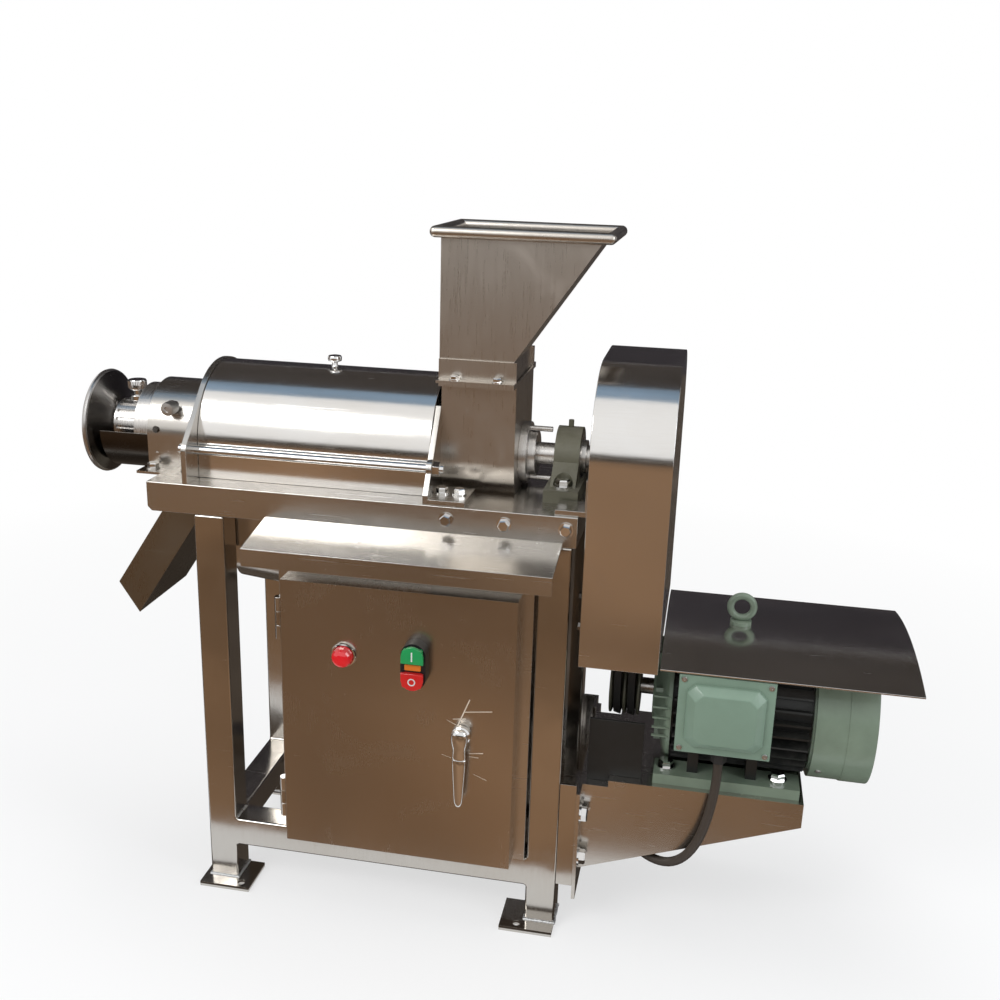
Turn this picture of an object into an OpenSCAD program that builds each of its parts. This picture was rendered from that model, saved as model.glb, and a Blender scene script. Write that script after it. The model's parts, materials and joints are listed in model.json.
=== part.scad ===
// Commercial cold press juicer: a horizontal screw press on a floor stand, driven by belts.
// Millimetres, Z up. The origin is on the floor, at the middle of the four foot anchor holes.
// +X runs along the screw towards the motor, and -Y is the operator's side.

/* [Stand] */
// Outer length of the leg frame
frame_l = 425; // [415:1:435]
// Room between the cover and the side of the frame
side_room = 31; // [30:0.5:35]
// Side of the square leg tube
leg_t = 35; // [30:1:38]
// Wall of the square tube
tube_wall = 2; // [1.5:0.5:3]
// Height of the lower rails above the floor
rail_z = 52; // [40:1:60]
// Thickness of a foot plate
foot_t = 6; // [4:1:8]
// Length of a foot plate along the machine
foot_l = 62; // [56:1:66]
// How far a left foot plate stands out past its leg
foot_out = 7; // [4:1:9]
// How far a foot plate stands out in front of its leg
foot_reach = 18; // [17:1:24]
// How far an anchor hole sits in from the end of the frame
anchor_in = 42.5; // [40:0.5:45]
// How far an anchor hole sits out in front of the leg
anchor_out = 9; // [8:0.5:10]
// Bore of an anchor hole
anchor_d = 9; // [7:0.5:10]

/* [Bed] */
// Height of the underside of the bed
bed_z = 470; // [465:1:480]
// Height of the bed
bed_h = 34; // [30:1:40]
// Thickness of the bed's top plate
bed_top_t = 6; // [4:1:8]
// Overhang of the bed past the left legs
bed_over_l = 54.5; // [53:0.5:58]
// Overhang of the bed past the right legs
bed_over_r = 4.5; // [2:0.5:6]

/* [Press] */
// Height of the screw axis above the bed
axis_h = 36.5; // [35:0.5:40]
// How far the left end plate stands past the legs
left_plate_over = 11.5; // [10:0.5:12.5]
// Distance of the right support plate from the right end of the frame
right_plate_in = 163; // [160:0.5:166]
// Thickness of the end plates
plate_t = 6; // [5:0.5:7]
// Outer radius of the screw flight
auger_r = 53; // [50:0.5:53.5]
// Core radius at the feed end
core_r_feed = 20; // [18:1:26]
// Core radius at the pressing end
core_r_press = 40; // [34:1:42]
// Pitch of the flight at the feed end
pitch_feed = 82; // [70:1:90]
// Pitch of the flight at the pressing end
pitch_press = 34; // [28:1:40]
// Thickness of the flight
flight_t = 6; // [4:1:8]
// Bore radius of the screen drum and of the feed trough
drum_r = 54; // [54:0.5:55]
// Wall of the screen drum
drum_t = 2.5; // [1.5:0.5:3]
// Radius of the drum's stiffening bands
band_r = 62; // [59:1:66]
// Outer radius of the cover's arch
cover_r = 84; // [80:1:85]
// Sheet thickness of the cover
cover_t = 2; // [1.5:0.5:3]
// Radius of a tie rod
rod_r = 5; // [4:0.5:5]
// Distance of the tie rods from the cover
rod_gap = 7; // [6.5:0.5:8]

/* [Feed] */
// Length of the feed box
feed_l = 82; // [78:0.5:82.5]
// Half width of the feed box and hopper
feed_hw = 57; // [57:0.5:60]
// Sheet thickness of the feed box
feed_t = 2.5; // [1.5:0.5:2.5]
// Height of the feed box's top flange above the axis
feed_h = 87.5; // [84:0.5:92]
// Sheet thickness of the hopper
hopper_t = 2; // [1.5:0.5:3]
// Height of the hopper
hopper_h = 157; // [120:1:190]
// How far the hopper's mouth reaches past the feed box
hopper_spread = 87.5; // [70:0.5:95]
// Tube radius of the hopper's rolled rim
rim_r = 6; // [4:0.5:7]
// Height of the hopper's angle flange
angle_h = 24; // [18:1:30]
// Width of the flanges' level leaf
leaf_w = 16; // [15:1:20]

/* [Outlet] */
// Length of the discharge housing
house_l = 68; // [66:1:70]
// Outer radius of the discharge housing's arch
house_r = 57.5; // [57:0.5:60]
// Sheet thickness of the housing
house_t = 2.5; // [2:0.5:3]
// Radius of the ring flange
ring_r = 50; // [44:1:52]
// Length of the ring flange
ring_l = 21; // [18:1:22]
// Radius of the ribbed neck
neck_r = 28; // [26:1:30]
// Length of the ribbed neck
neck_l = 37; // [36:1:37]
// Radius of the handwheel's rim
wheel_r = 60; // [52:1:64]

/* [Drive] */
// Radius of the main shaft
shaft_r = 12.5; // [11:0.5:12.5]
// Outer radius of the large pulley
big_r = 100; // [90:1:105]
// Outer radius of the small pulley
small_r = 35; // [32:1:38]
// Distance of the pulleys from the guard's left face
pulley_in = 45; // [42:1:47]
// Width of the pulleys
pulley_w = 35; // [34:1:38]
// Width of a belt groove at the rim
groove_w = 13.6; // [12:0.2:14]
// Depth of a belt groove
groove_h = 10; // [9:0.5:11]
// Spacing of the two belts
belt_gap = 16; // [15:0.5:16.5]
// Thickness of a belt
belt_h = 8; // [7:0.5:8.5]
// Height of the motor axis above its feet
motor_h = 80; // [77:1:83]
// Radius of the motor over its fins
motor_r = 78; // [76:1:78]
// Distance of the motor from the guard's left face
motor_out = 78; // [75:1:79]
// Length of the motor
motor_l = 245; // [241:1:250]
// Height of the motor's foot plane
motor_foot_z = 187; // [186:1:188]
// Radius of the motor shaft
motor_shaft_r = 9.5; // [8:0.5:10]

/* [Guard and hood] */
// Gap between the bed and the belt guard
guard_out = 10; // [9:0.5:11]
// Width of the belt guard
guard_w = 84.5; // [80:0.5:86]
// Half depth of the belt guard
guard_hw = 135; // [125:1:140]
// Open lower edge of the belt guard
guard_z0 = 345; // [335:1:350]
// Rise of the belt guard above the screw axis
guard_h = 119.5; // [112:0.5:129]
// Radius of the guard's top corners
guard_corner = 95; // [80:1:100]
// Sheet thickness of the belt guard
guard_t = 2; // [1.5:0.5:3]
// Gap between the belt guard and the motor hood
hood_gap = 1.5; // [1.5:0.5:3.5]
// Length of the motor hood
hood_l = 271; // [262:1:277]
// Half depth of the motor hood
hood_hw = 119; // [110:1:125]
// Rise of the hood's arch
hood_rise = 13; // [10:1:16]

/* [Cabinet] */
// Distance of the cabinet from the left end of the frame
cab_in_l = 99.5; // [96:0.5:101]
// Distance of the cabinet from the right end of the frame
cab_in_r = 37.5; // [36.5:0.5:42]
// Room between the cabinet and the bed
cab_drop = 50; // [46:1:54]
// Depth of the cabinet
cab_d = 110; // [100:1:112]
// Sheet thickness of the cabinet
cab_t = 2; // [1.5:0.5:2.5]
// Cabinet edge seen left of the door
door_in_l = 10.5; // [10:0.5:12]
// Cabinet edge seen right of the door
door_in_r = 13.5; // [13:0.5:20]
// Cabinet edge seen below the door
door_in_low = 2; // [1:1:4]
// Cabinet edge seen above the door
door_in_top = 6; // [4:1:12]
// How far the door stands out
door_d = 24; // [22:1:26]
// Distance of the push buttons from the door's top
button_drop = 80; // [70:1:90]
// Distance of the push buttons from the door's left edge
button_at = 154.5; // [148:0.5:162]
// Distance of the indicator lamp from the door's left edge
lamp_at = 72.5; // [65:0.5:80]
// Distance of the door handle from the door's right edge
handle_in = 57.5; // [52:0.5:63]
// Height of the handle's pivot above the door's lower edge
handle_up = 164; // [156:1:172]
// Length of the door handle below its pivot
handle_l = 84; // [70:1:90]
// Overhang of the roof past the cabinet's left side
roof_over_l = 15; // [11:1:19]
// Overhang of the roof past the cabinet's right side
roof_over_r = 27; // [21:1:31]
// How far the roof stands out
roof_reach = 70; // [60:1:76]
// Depth of the roof's front lip
roof_lip = 20; // [16:1:24]

/* [Clearances] */
// Gap between faces of pieces that move apart
gap = 0.3; // [0.2:0.05:0.4]
// Radial running clearance of a shaft in its bore
run = 0.08; // [0.05:0.01:0.1]

/* [Hidden] */

// Cutting solids run past what they cut by this much
over = 1;
// Shared fineness of round forms
$fn = 64;

// How far the cabinet stands out past the legs
cab_proud = 3;

// Heights and places that follow from the sizes above
frame_w = 2 * (cover_r + side_room);
bed_top = bed_z + bed_h;
axis_z = bed_top + axis_h;
bed_x0 = -frame_l / 2 - bed_over_l;
bed_x1 = frame_l / 2 + bed_over_r;
bed_rim = leg_t;
front_y = -frame_w / 2;
leg_x = frame_l / 2 - leg_t / 2;
leg_y = frame_w / 2 - leg_t / 2;
left_plate_x = -frame_l / 2 - left_plate_over;
left_plate_x1 = left_plate_x + plate_t;
right_plate_x = frame_l / 2 - right_plate_in;
right_plate_x1 = right_plate_x + plate_t;
rod_y = cover_r + rod_gap;
feed_x0 = right_plate_x1;
feed_x1 = feed_x0 + feed_l;
feed_top_z = axis_z + feed_h;
hopper_top_z = feed_top_z + hopper_h;
hopper_top_x = feed_x1 + hopper_spread;
house_x0 = left_plate_x - house_l;
guard_x0 = bed_x1 + guard_out;
guard_z1 = axis_z + guard_h;
pulley_x = guard_x0 + pulley_in;
motor_z = motor_foot_z + motor_h;
motor_x0 = guard_x0 + motor_out;
motor_x1 = motor_x0 + motor_l;
hood_x0 = guard_x0 + guard_w + hood_gap;
hood_x1 = hood_x0 + hood_l;
cab_y0 = front_y - cab_proud;
cab_x0 = -frame_l / 2 + cab_in_l;
cab_x1 = frame_l / 2 - cab_in_r;
cab_z0 = rail_z + leg_t;
cab_z1 = bed_z - cab_drop;
door_x0 = cab_x0 + door_in_l;
door_x1 = cab_x1 - door_in_r;
door_z0 = cab_z0 + door_in_low;
door_z1 = cab_z1 - door_in_top;
button_x = door_x0 + button_at;
button_z = door_z1 - button_drop;
lamp_x = door_x0 + lamp_at;
handle_x = door_x1 - handle_in;
handle_z = door_z0 + handle_up;
roof_x0 = cab_x0 - roof_over_l;
roof_x1 = cab_x1 + roof_over_r;

// Stainless steel, cast and painted colours
steel = [0.78, 0.77, 0.74];
bright = [0.88, 0.88, 0.88];
dark_steel = [0.35, 0.34, 0.33];
cast_green = [0.36, 0.38, 0.30];
motor_green = [0.66, 0.72, 0.62];
box_green = [0.30, 0.52, 0.42];
rubber = [0.07, 0.07, 0.07];

// Bed openings and its chamfered corner
bed_chamfer = 5;
roof_fall = 13;
drum_slot_x0 = left_plate_x1;
drum_slot_x1 = right_plate_x1 + gap;
drum_slot_hw = 76;
pomace_edge_l = 5;
pomace_edge_r = 4;
pomace_slot_x0 = bed_x0 + pomace_edge_l;
pomace_slot_x1 = left_plate_x - pomace_edge_r;
pomace_slot_hw = 60;

// End plates: the flare is the angle from upright at which the arch runs into the shoulder
plate_flare = 41;
plate_shoulder_z = 12;
plate_corner = 12;
plate_hw = frame_w / 2 - gap;
half_turn = 180;
edge_in = 1;
upright_hw = frame_w / 2 - edge_in;
support_foot_rise = 10;
support_top_hw = 58;
support_rise = 59.5;
support_top_z = axis_z + support_rise;
support_foot_l = 46;
rod_drop = 2.5;
rod_z = axis_z - rod_drop;
rod_ear_r = 10;
nut_r = 8.5;
nut_h = 8;
rod_tail = 4;

// Screen drum
band_w = 6;
band_count = 4;
slot_rows = 5;
slot_per_row = 16;
slot_w = 3;

// Screw
auger_in = 11;
auger_end_gap = 1.5;
taper_l = 63;
auger_x0 = left_plate_x + auger_in;
auger_x1 = feed_x1 - feed_t - auger_end_gap;
auger_taper_x = auger_x0 + taper_l;
flight_share = 0.66;
flight_steps = 20;

// Cover
cover_x0 = left_plate_x1 + gap;
cover_x1 = right_plate_x - gap;
knob_x = (cover_x0 + cover_x1) / 2;
knob_r = 8;
knob_h = 13;
knob_stem_r = 4;

// Juice collector
juice_gap = 2.5;
juice_x0 = left_plate_x1 + juice_gap;
juice_x1 = right_plate_x - juice_gap;
juice_t = 2;
juice_top_hw = 78;
juice_neck_h = 46;
juice_neck_z = bed_z - juice_neck_h;
juice_y = 34;
juice_r = 36;
juice_fall_l = 78;
juice_fall_r = 106;
juice_z_left = juice_neck_z - juice_fall_l;
juice_z_right = juice_neck_z - juice_fall_r;
spout_r = 19;
spout_t = 2;
spout_in = 29;
spout_x = juice_x1 - spout_in;
spout_l = 62;
spout_collar_l = 12;

// Discharge housing and the pressure parts
house_hw = 88;
house_foot_t = 3;
house_bore = 22;
neck_bore = 17.1;
neck_slots = 18;
neck_slot_w = 4;
neck_slot_d = 2.5;
spindle_r = 17;
spindle_tip_r = 14;
journal_r = 9;
tip_gap = 1;
cone_nose_r = 40;
cone_base_r = 52;
cone_in = 30;
cone_gap = 1;
cone_face_l = 32;
journal_in = 26;
cone_x0 = house_x0 + cone_in;
cone_x1 = auger_x0 - cone_gap;
cone_rim_x = cone_x1 - cone_face_l;
cone_hub_r = 26;
journal_x = cone_x1 - journal_in;
wheel_hub_r = 29;
wheel_t = 3;
wheel_l = 19;
wheel_bead = 3.5;
wheel_cap = 4;
lock_in = 18;
lock_x = house_x0 - ring_l - lock_in;
lock_r = 5;
lock_nut_r = 9;
lock_nut_h = 6;
lock_head_r = 11;
lock_head_h = 12;
lock_neck_h = 7;
shield_r = 52;
shield_t = 1.5;
shield_l = 63;
shield_x0 = house_x0 - shield_l;
stud_in = 30;
stud_up = 34.5;
stud_x = house_x0 + stud_in;
stud_z = axis_z + stud_up;
stud_r = 8;
stud_l = 15;

// Pomace chute
chute_angle = 57;
chute_hw = 63;
chute_t = 2;
chute_edge = 2;
chute_gap = 1;
chute_x0 = bed_x0 + chute_edge;
chute_x1 = juice_x0 - chute_gap;
chute_drop = 112;
chute_lip = 18;

// Feed side
angle_t = 3;
flange_t = 3;
throat_edge = 3.5;
throat_x1 = feed_x1 - throat_edge;
throat_rise = 24;
bolt_r = 3;
seal_flange_r = 35;
seal_flange_t = 9;
seal_boss_r = 25;
seal_l = 17.5;
seal_stud_r = 3;
seal_stud_l = 7;

// Bearing
bearing_in = 25.5;
bearing_x = bed_x1 - bearing_in;
base_w = 38;
base_l = 140;
base_h = 14;
bearing_bolt_dy = 105;
bearing_r = 33;
bearing_w = 28;
insert_r = 25;
insert_w = 34;
collar_r = 18.5;
nipple_r = 3;
nipple_h = 8;
bracket_gap = 3;
bracket_edge = 4;
bracket_y0 = base_l / 2 + bracket_gap;
bracket_y1 = frame_w / 2 - bracket_edge;
bracket_t = 4;
bracket_h = 40;

// Pulleys and belts
groove_angle = 18;
rim_t = 8;
web_t = 10;
hub_r = 24;
belt_sunk = 0.6;
belt_steps_big = 26;
belt_steps_small = 12;

// Guard
shaft_hole_r = 30;

// Motor and its bracket
frame_r = 64;
pad_share = 0.8;
fin_t = 2.4;
fin_count = 32;
bell_l = 23;
stator_l = 154;
frame_x0 = motor_x0 + bell_l;
frame_x1 = frame_x0 + stator_l;
bell_cone_r = 34;
bell_nose = 4;
bell_ribs = 8;
foot_y = 82;
foot_in = 8;
foot_pad_l = 162;
foot_x0 = motor_x0 + foot_in;
foot_x1 = foot_x0 + foot_pad_l;
foot_h = 12;
foot_w = 36;
foot_bolt_dx = 125;
foot_bolt_dy = 125;
foot_edge = 13;
foot_bolt_x = foot_x0 + foot_edge;
foot_bolt_r = 5;
foot_leg_t = 12;
rotor_r = 42;
rotor_in = 17;
rotor_l = 110;
rotor_x0 = frame_x0 + rotor_in;
rotor_x1 = rotor_x0 + rotor_l;
stator_r = 43;
cowl_r = 82;
cowl_gap = 2;
cowl_x0 = frame_x1 + cowl_gap;
cowl_t = 2;
cowl_hole_r = 2.5;
cowl_rings = 3;
fan_r = 66;
fan_in = 16;
fan_x0 = cowl_x0 + fan_in;
fan_w = 22;
fan_blades = 6;
bracket_hw = 90;
plate_drop = 145;
plate_z0 = motor_foot_z - plate_drop;
rail_x0 = frame_l / 2;
rail_w = 18.5;
upright_x = rail_x0 + rail_w;
bracket_sheet = 4;
notch_in = 33;
notch_x = upright_x + notch_in;
notch_h = 8;
gusset_over = 5;
gusset_end_h = 29;
gusset_h = 120;
gusset_x1 = foot_x1 + gusset_over;
gusset_end_z = motor_foot_z - gusset_end_h;
gusset_low_z = motor_foot_z - gusset_h;
rail_rise = 3;
rail_l = 130;
rail_z1 = motor_foot_z + rail_rise;
rail_z0 = rail_z1 - rail_l;
cable_hole_r = 12;
cable_hole_y = -50;
cable_hole_z = 110;

// Terminal box
tbox_in = 29;
tbox_l = 102;
tbox_drop = 18;
tbox_h = 92;
tbox_x0 = motor_x0 + tbox_in;
tbox_x1 = tbox_x0 + tbox_l;
tbox_z0 = motor_z - tbox_drop;
tbox_z1 = tbox_z0 + tbox_h;
tbox_y0 = -128;
tbox_y1 = -80;
tbox_split_y = -112;
tbox_wall = 3;
tbox_bevel = 7;

// Hood
hood_up = 78;
hood_z = motor_z + hood_up;
hood_t = 2;
eye_in = 92;
eye_x = motor_x0 + eye_in;
eye_r = 13;
eye_wire = 4;
eye_stem_r = 6;
strap_l = 20;
strap_in = 12;
strap_x0 = motor_x1 - strap_in;
strap_x1 = strap_x0 + strap_l;
strap_hw = 24;
strap_t = 3;

// Cabinet details
lip_w = 12;
door_t = 1.5;
hinge_l = 50;
hinge_r = 5;
hinge_pin_r = 2.5;
hinge_inset = 25;
hinge_out = 6;
hinge_x = door_x0 - hinge_out;
leaf_t = 3;
lamp_drop = 81;
lamp_z = door_z1 - lamp_drop;
lamp_r = 14.5;
lamp_ring = 5;
lamp_lens_r = 11.5;
lamp_proud = 16;
barrel_r = 10.5;
barrel_l = 18;
button_hw = 14;
button_hh = 27;
button_proud = 15;
cap_hw = 11;
cap_hh = 8;
cap_proud = 6;
cap_at = 14;
cap_pocket = 3.4;
cap_travel = 2.5;
cap_grip = 0.5;
lens_hw = 9;
lens_hh = 3.5;
lens_proud = 2;
handle_r = 11;
handle_boss = 9;
handle_w = 12;
handle_t = 7;
handle_pin_r = 5;
cam_l = 52;
cam_w = 14;
cam_t = 3;
cam_gap = 3;
panel_t = 2;
panel_margin = 22;
spacer_r = 5;
spacer_l = 10;
relay_w = 45;
relay_h = 74;
relay_d = 50;
relay_step = 12;
din_h = 35;
din_d = 7;

// Motor cable: its points are chosen by hand
cable_r = 5.3;
cable_sides = 10;
cable_pts = [
  [383, -100, 234], [383, -101, 215], [381, -103, 190], [376, -104, 160], [368, -103, 132],
  [355, -99, 108], [338, -91, 93], [318, -79, 88], [296, -66, 93], [272, -56, 103],
  [252, -51, 109], [231, -50, 110], [210, -50, 110], [194, -50, 110]
];
gland_r = 9;

// Hexagon bolts
hex_r = 6.5;
hex_h = 5.3;
big_hex_r = 8.5;
big_hex_h = 6.5;
washer_r = 8;
small_hex_r = 5;
small_hex_h = 4;
washer_t = 1.6;
roof_bolt_in = [141, 78, 12];
roof_bolt_x = [for (d = roof_bolt_in) bed_x1 - d];
roof_bolt_drop = 14;
roof_bolt_z = bed_top - roof_bolt_drop;

// Places shared by the bracket, its rails and their bolts
pulley_plate_in = 7;
pulley_plate_l = 62;
pulley_plate_h = 69;
pulley_plate_x0 = upright_x + pulley_plate_in;
pulley_plate_x1 = pulley_plate_x0 + pulley_plate_l;
pulley_plate_y = -77;
pulley_plate_z1 = motor_foot_z + pulley_plate_h;
rail_bolt_in = 13;
rail_bolt_y = frame_w / 2 - rail_bolt_in;
rail_bolt_up = [32, 88];
rail_bolt_z = [for (d = rail_bolt_up) rail_z0 + d];
slot_half = 12;
strap_sag = 0.9;
support_bolt_x = [15, 34];
support_bolt_in = 30;
support_bolt_y = frame_w / 2 - support_bolt_in;
stud_root = sqrt(pow(cone_base_r + 2 * gap, 2) - pow(stud_up - rod_r, 2));
stud_seat = sqrt(pow(house_r, 2) - pow(stud_up - stud_r, 2)) + gap;
eye_root = motor_z + (stator_r + frame_r) / 2;
bearing_h_cut = base_h + bearing_r;
flange_bolt_x = [feed_x0 + leaf_w, throat_x1 - leaf_w];
flange_bolt_y = feed_hw + angle_t + small_hex_r * washer_r / hex_r + gap;
wheel_x1 = house_x0 - ring_l - neck_l - gap;
hinge_y = cab_y0 - door_d / 2;
hinge_part = (hinge_l - 2 * gap) / 3;
hinge_zs = [door_z0 + hinge_inset, door_z1 - hinge_inset - hinge_l];

// Axis turned to lie along the machine
module along_x(x) {
  translate([x, 0, axis_z]) rotate([0, 90, 0]) children();
}

// Box between two corners
module block(a, b) {
  translate(a) cube(b - a);
}

// Cutting cylinder that runs past both faces of a wall h thick
module bore(r, h) {
  translate([0, 0, -over]) cylinder(r = r, h = h + 2 * over);
}

// Plate drawn as an outline in Y and Z, standing at x
module upright(x, t) {
  translate([x, 0, 0]) rotate([90, 0, 90]) linear_extrude(t) children();
}

// Plate drawn as an outline in X and Z, with its front face at y
module facing(y, t) {
  translate([0, y + t, 0]) rotate([90, 0, 0]) linear_extrude(t) children();
}

// Hexagon head with its washer, standing on z = 0
module hex_head(r, h) {
  cylinder(r = r * washer_r / hex_r, h = washer_t);
  translate([0, 0, washer_t]) cylinder(r = r, h = h, $fn = 6);
}

// Points of an arc about c from angle a to b
function arc(c, r, a, b, n = 8) =
  [for (i = [0:n]) c + r * [cos(a + (b - a) * i / n), sin(a + (b - a) * i / n)]];

// Square tube legs joined by the lower rails
module leg_frame() {
  color(bright)
  difference() {
    union() {
      for (sx = [-1, 1])
        for (sy = [-1, 1])
          translate([sx * leg_x - leg_t / 2, sy * leg_y - leg_t / 2, foot_t])
            cube([leg_t, leg_t, bed_z - foot_t]);
      for (sy = [-1, 1])
        translate([-leg_x, sy * leg_y - leg_t / 2, rail_z])
          cube([2 * leg_x, leg_t, leg_t]);
      for (sx = [-1, 1])
        translate([sx * leg_x - leg_t / 2, -leg_y, rail_z])
          cube([leg_t, 2 * leg_y, leg_t]);
    }
    for (sx = [-1, 1])
      for (sy = [-1, 1])
        translate([sx * leg_x, sy * leg_y, 0])
          leg_bore();
  }
}

// Hollow of one leg
module leg_bore() {
  inner = leg_t - 2 * tube_wall;
  translate([-inner / 2, -inner / 2, foot_t + tube_wall])
    cube([inner, inner, bed_z - foot_t - 2 * tube_wall]);
}

// Foot plates welded under the legs, each with one anchor hole
module foot_plates() {
  color(bright)
  for (sx = [-1, 1])
    for (sy = [-1, 1]) {
      x0 = sx < 0 ? -frame_l / 2 - foot_out : frame_l / 2 - foot_l;
      y_out = frame_w / 2 + foot_reach;
      y_in = frame_w / 2 - leg_t;
      difference() {
        translate([x0, sy < 0 ? -y_out : y_in, 0])
          cube([foot_l, y_out - y_in, foot_t]);
        translate([sx * (frame_l / 2 - anchor_in), sy * (frame_w / 2 + anchor_out), -over])
          cylinder(d = anchor_d, h = foot_t + 2 * over);
      }
    }
}

// Bed: a top plate on a rim, open where the juice and the pomace fall through
module bed_tray() {
  color(steel)
  difference() {
    facing(-frame_w / 2, frame_w)
      polygon([[bed_x0 + bed_chamfer, bed_z], [bed_x1, bed_z], [bed_x1, bed_top],
           [bed_x0, bed_top], [bed_x0, bed_z + bed_chamfer]]);
    block([drum_slot_x0, -frame_w / 2 + bed_rim, bed_z - over],
       [bed_x1 - bed_rim, frame_w / 2 - bed_rim, bed_top - bed_top_t]);
    block([drum_slot_x0, -drum_slot_hw, bed_z - over],
       [drum_slot_x1, drum_slot_hw, bed_top + over]);
    block([pomace_slot_x0, -pomace_slot_hw, bed_z - over],
       [pomace_slot_x1, pomace_slot_hw, bed_top + over]);
    block([drum_slot_x1 - over, -feed_hw - gap, bed_z - over],
       [feed_x1 + gap, feed_hw + gap, bed_top + over]);
    along_x(pomace_slot_x0) cylinder(r = drum_r, h = feed_x1 - pomace_slot_x0);
  }
}

// Sloping roof over the cabinet door, folded from sheet
module cabinet_roof() {
  y0 = front_y;
  y1 = front_y - roof_reach;
  z0 = bed_z + bed_chamfer;
  z1 = z0 - roof_fall;
  color(steel)
  upright(roof_x0, roof_x1 - roof_x0)
    polygon([[y0, z0], [y1, z1], [y1, z1 - roof_lip], [y1 + hood_t, z1 - roof_lip],
         [y1 + hood_t, z1 - hood_t], [y0 - hood_t, z0 - 2 * hood_t],
         [y0 - hood_t, bed_z], [y0, bed_z]]);
}

// Electrical cabinet with a lipped opening behind the door
module cabinet_box() {
  y1 = cab_y0 + cab_d;
  color(steel)
  difference() {
    block([cab_x0, cab_y0, cab_z0], [cab_x1, y1, cab_z1]);
    block([cab_x0 + cab_t, cab_y0 + cab_t, cab_z0 + cab_t],
       [cab_x1 - cab_t, y1 - cab_t, cab_z1 - cab_t]);
    block([door_x0 + lip_w, cab_y0 - over, door_z0 + lip_w],
       [door_x1 - lip_w, cab_y0 + 2 * over + cab_t, door_z1 - lip_w]);
    translate([cab_x1 - 2 * cab_t, cable_hole_y, cable_hole_z])
      rotate([0, 90, 0])
        cylinder(r = cable_r + run, h = 4 * cab_t);
  }
}

// Panel on four spacers at the back of the cabinet
module mounting_panel() {
  y1 = cab_y0 + cab_d - cab_t;
  x0 = cab_x0 + panel_margin;
  x1 = cab_x1 - panel_margin;
  z0 = cab_z0 + panel_margin;
  z1 = cab_z1 - panel_margin;
  color("silver") {
    block([x0, y1 - spacer_l - panel_t, z0], [x1, y1 - spacer_l, z1]);
    for (x = [x0 + panel_margin, x1 - panel_margin])
      for (z = [z0 + panel_margin, z1 - panel_margin])
        translate([x, y1, z])
          rotate([90, 0, 0])
            cylinder(r = spacer_r, h = spacer_l);
  }
}

// Contactor on its rail
module contactor() {
  y1 = cab_y0 + cab_d - cab_t - spacer_l - panel_t;
  x = (cab_x0 + cab_x1) / 2;
  z = handle_z;
  color("gray") {
    block([x - 2 * relay_w, y1 - din_d, z - din_h / 2], [x + 2 * relay_w, y1, z + din_h / 2]);
    block([x - relay_w / 2, y1 - din_d - relay_d, z - relay_h / 2],
       [x + relay_w / 2, y1 - din_d, z + relay_h / 2]);
    block([x - relay_w / 2 + relay_step, y1 - din_d - relay_d - relay_step,
        z - relay_h / 2 + relay_step],
       [x + relay_w / 2 - relay_step, y1 - din_d - relay_d,
        z + relay_h / 2 - relay_step]);
  }
}

// Fixed leaves with their end knuckles and pins
module door_hinges() {
  color(bright)
  for (z = hinge_zs)
    translate([hinge_x, hinge_y, z]) {
      for (dz = [0, 2 * (hinge_part + gap)])
        translate([0, 0, dz]) {
          cylinder(r = hinge_r, h = hinge_part);
          translate([-leaf_t / 2, 0, 0])
            cube([leaf_t, cab_y0 - hinge_y, hinge_part]);
        }
      cylinder(r = hinge_pin_r, h = hinge_l);
    }
}

// Door: a folded sheet with its hinge knuckles
module cabinet_door() {
  y0 = cab_y0 - door_d;
  color(steel)
  difference() {
    union() {
      difference() {
        block([door_x0, y0, door_z0], [door_x1, cab_y0 - gap, door_z1]);
        block([door_x0 + door_t, y0 + door_t, door_z0 + door_t],
           [door_x1 - door_t, cab_y0 + over, door_z1 - door_t]);
      }
      for (z = hinge_zs)
        translate([hinge_x, hinge_y, z + hinge_part + gap]) {
          cylinder(r = hinge_r, h = hinge_part);
          translate([0, -leaf_t / 2, 0])
            cube([door_x0 - hinge_x + door_t / 2, leaf_t, hinge_part]);
        }
    }
    for (z = hinge_zs)
      translate([hinge_x, hinge_y, z]) bore(hinge_pin_r + run, hinge_l);
    translate([lamp_x, y0, lamp_z]) rotate([-90, 0, 0]) bore(barrel_r, door_t);
    translate([button_x, y0, button_z]) rotate([-90, 0, 0]) bore(barrel_r, door_t);
    translate([handle_x, y0, handle_z]) rotate([-90, 0, 0]) bore(handle_pin_r + run, door_t);
  }
}

// Indicator lamp: ring, domed lens and the barrel behind the door
module indicator_lamp() {
  color("white")
  translate([lamp_x, cab_y0 - door_d, lamp_z]) rotate([90, 0, 0]) {
    cylinder(r = lamp_r, h = lamp_ring);
    intersection() {
      cylinder(r = lamp_lens_r, h = lamp_proud);
      translate([0, 0, lamp_proud - 2 * lamp_lens_r])
        sphere(r = 2 * lamp_lens_r);
    }
    translate([0, 0, -barrel_l]) cylinder(r = barrel_r, h = barrel_l);
  }
}

// Outline of the double button's bezel
module stadium(hw, hh) {
  for (s = [-1, 1]) translate([0, s * (hh - hw)]) circle(r = hw);
  square([2 * hw, 2 * (hh - hw)], center = true);
}

// Outline of one push cap: a rectangle with rounded corners
module cap_outline(hw, hh) {
  r = hh / 3;
  for (sx = [-1, 1])
    for (sy = [-1, 1])
      translate([sx * (hw - r), sy * (hh - r)]) circle(r = r);
  square([2 * hw, 2 * (hh - r)], center = true);
  square([2 * (hw - r), 2 * hh], center = true);
}

module on_door(y) {
  translate([button_x, cab_y0 - door_d - y, button_z]) rotate([90, 0, 0]) children();
}

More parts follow.
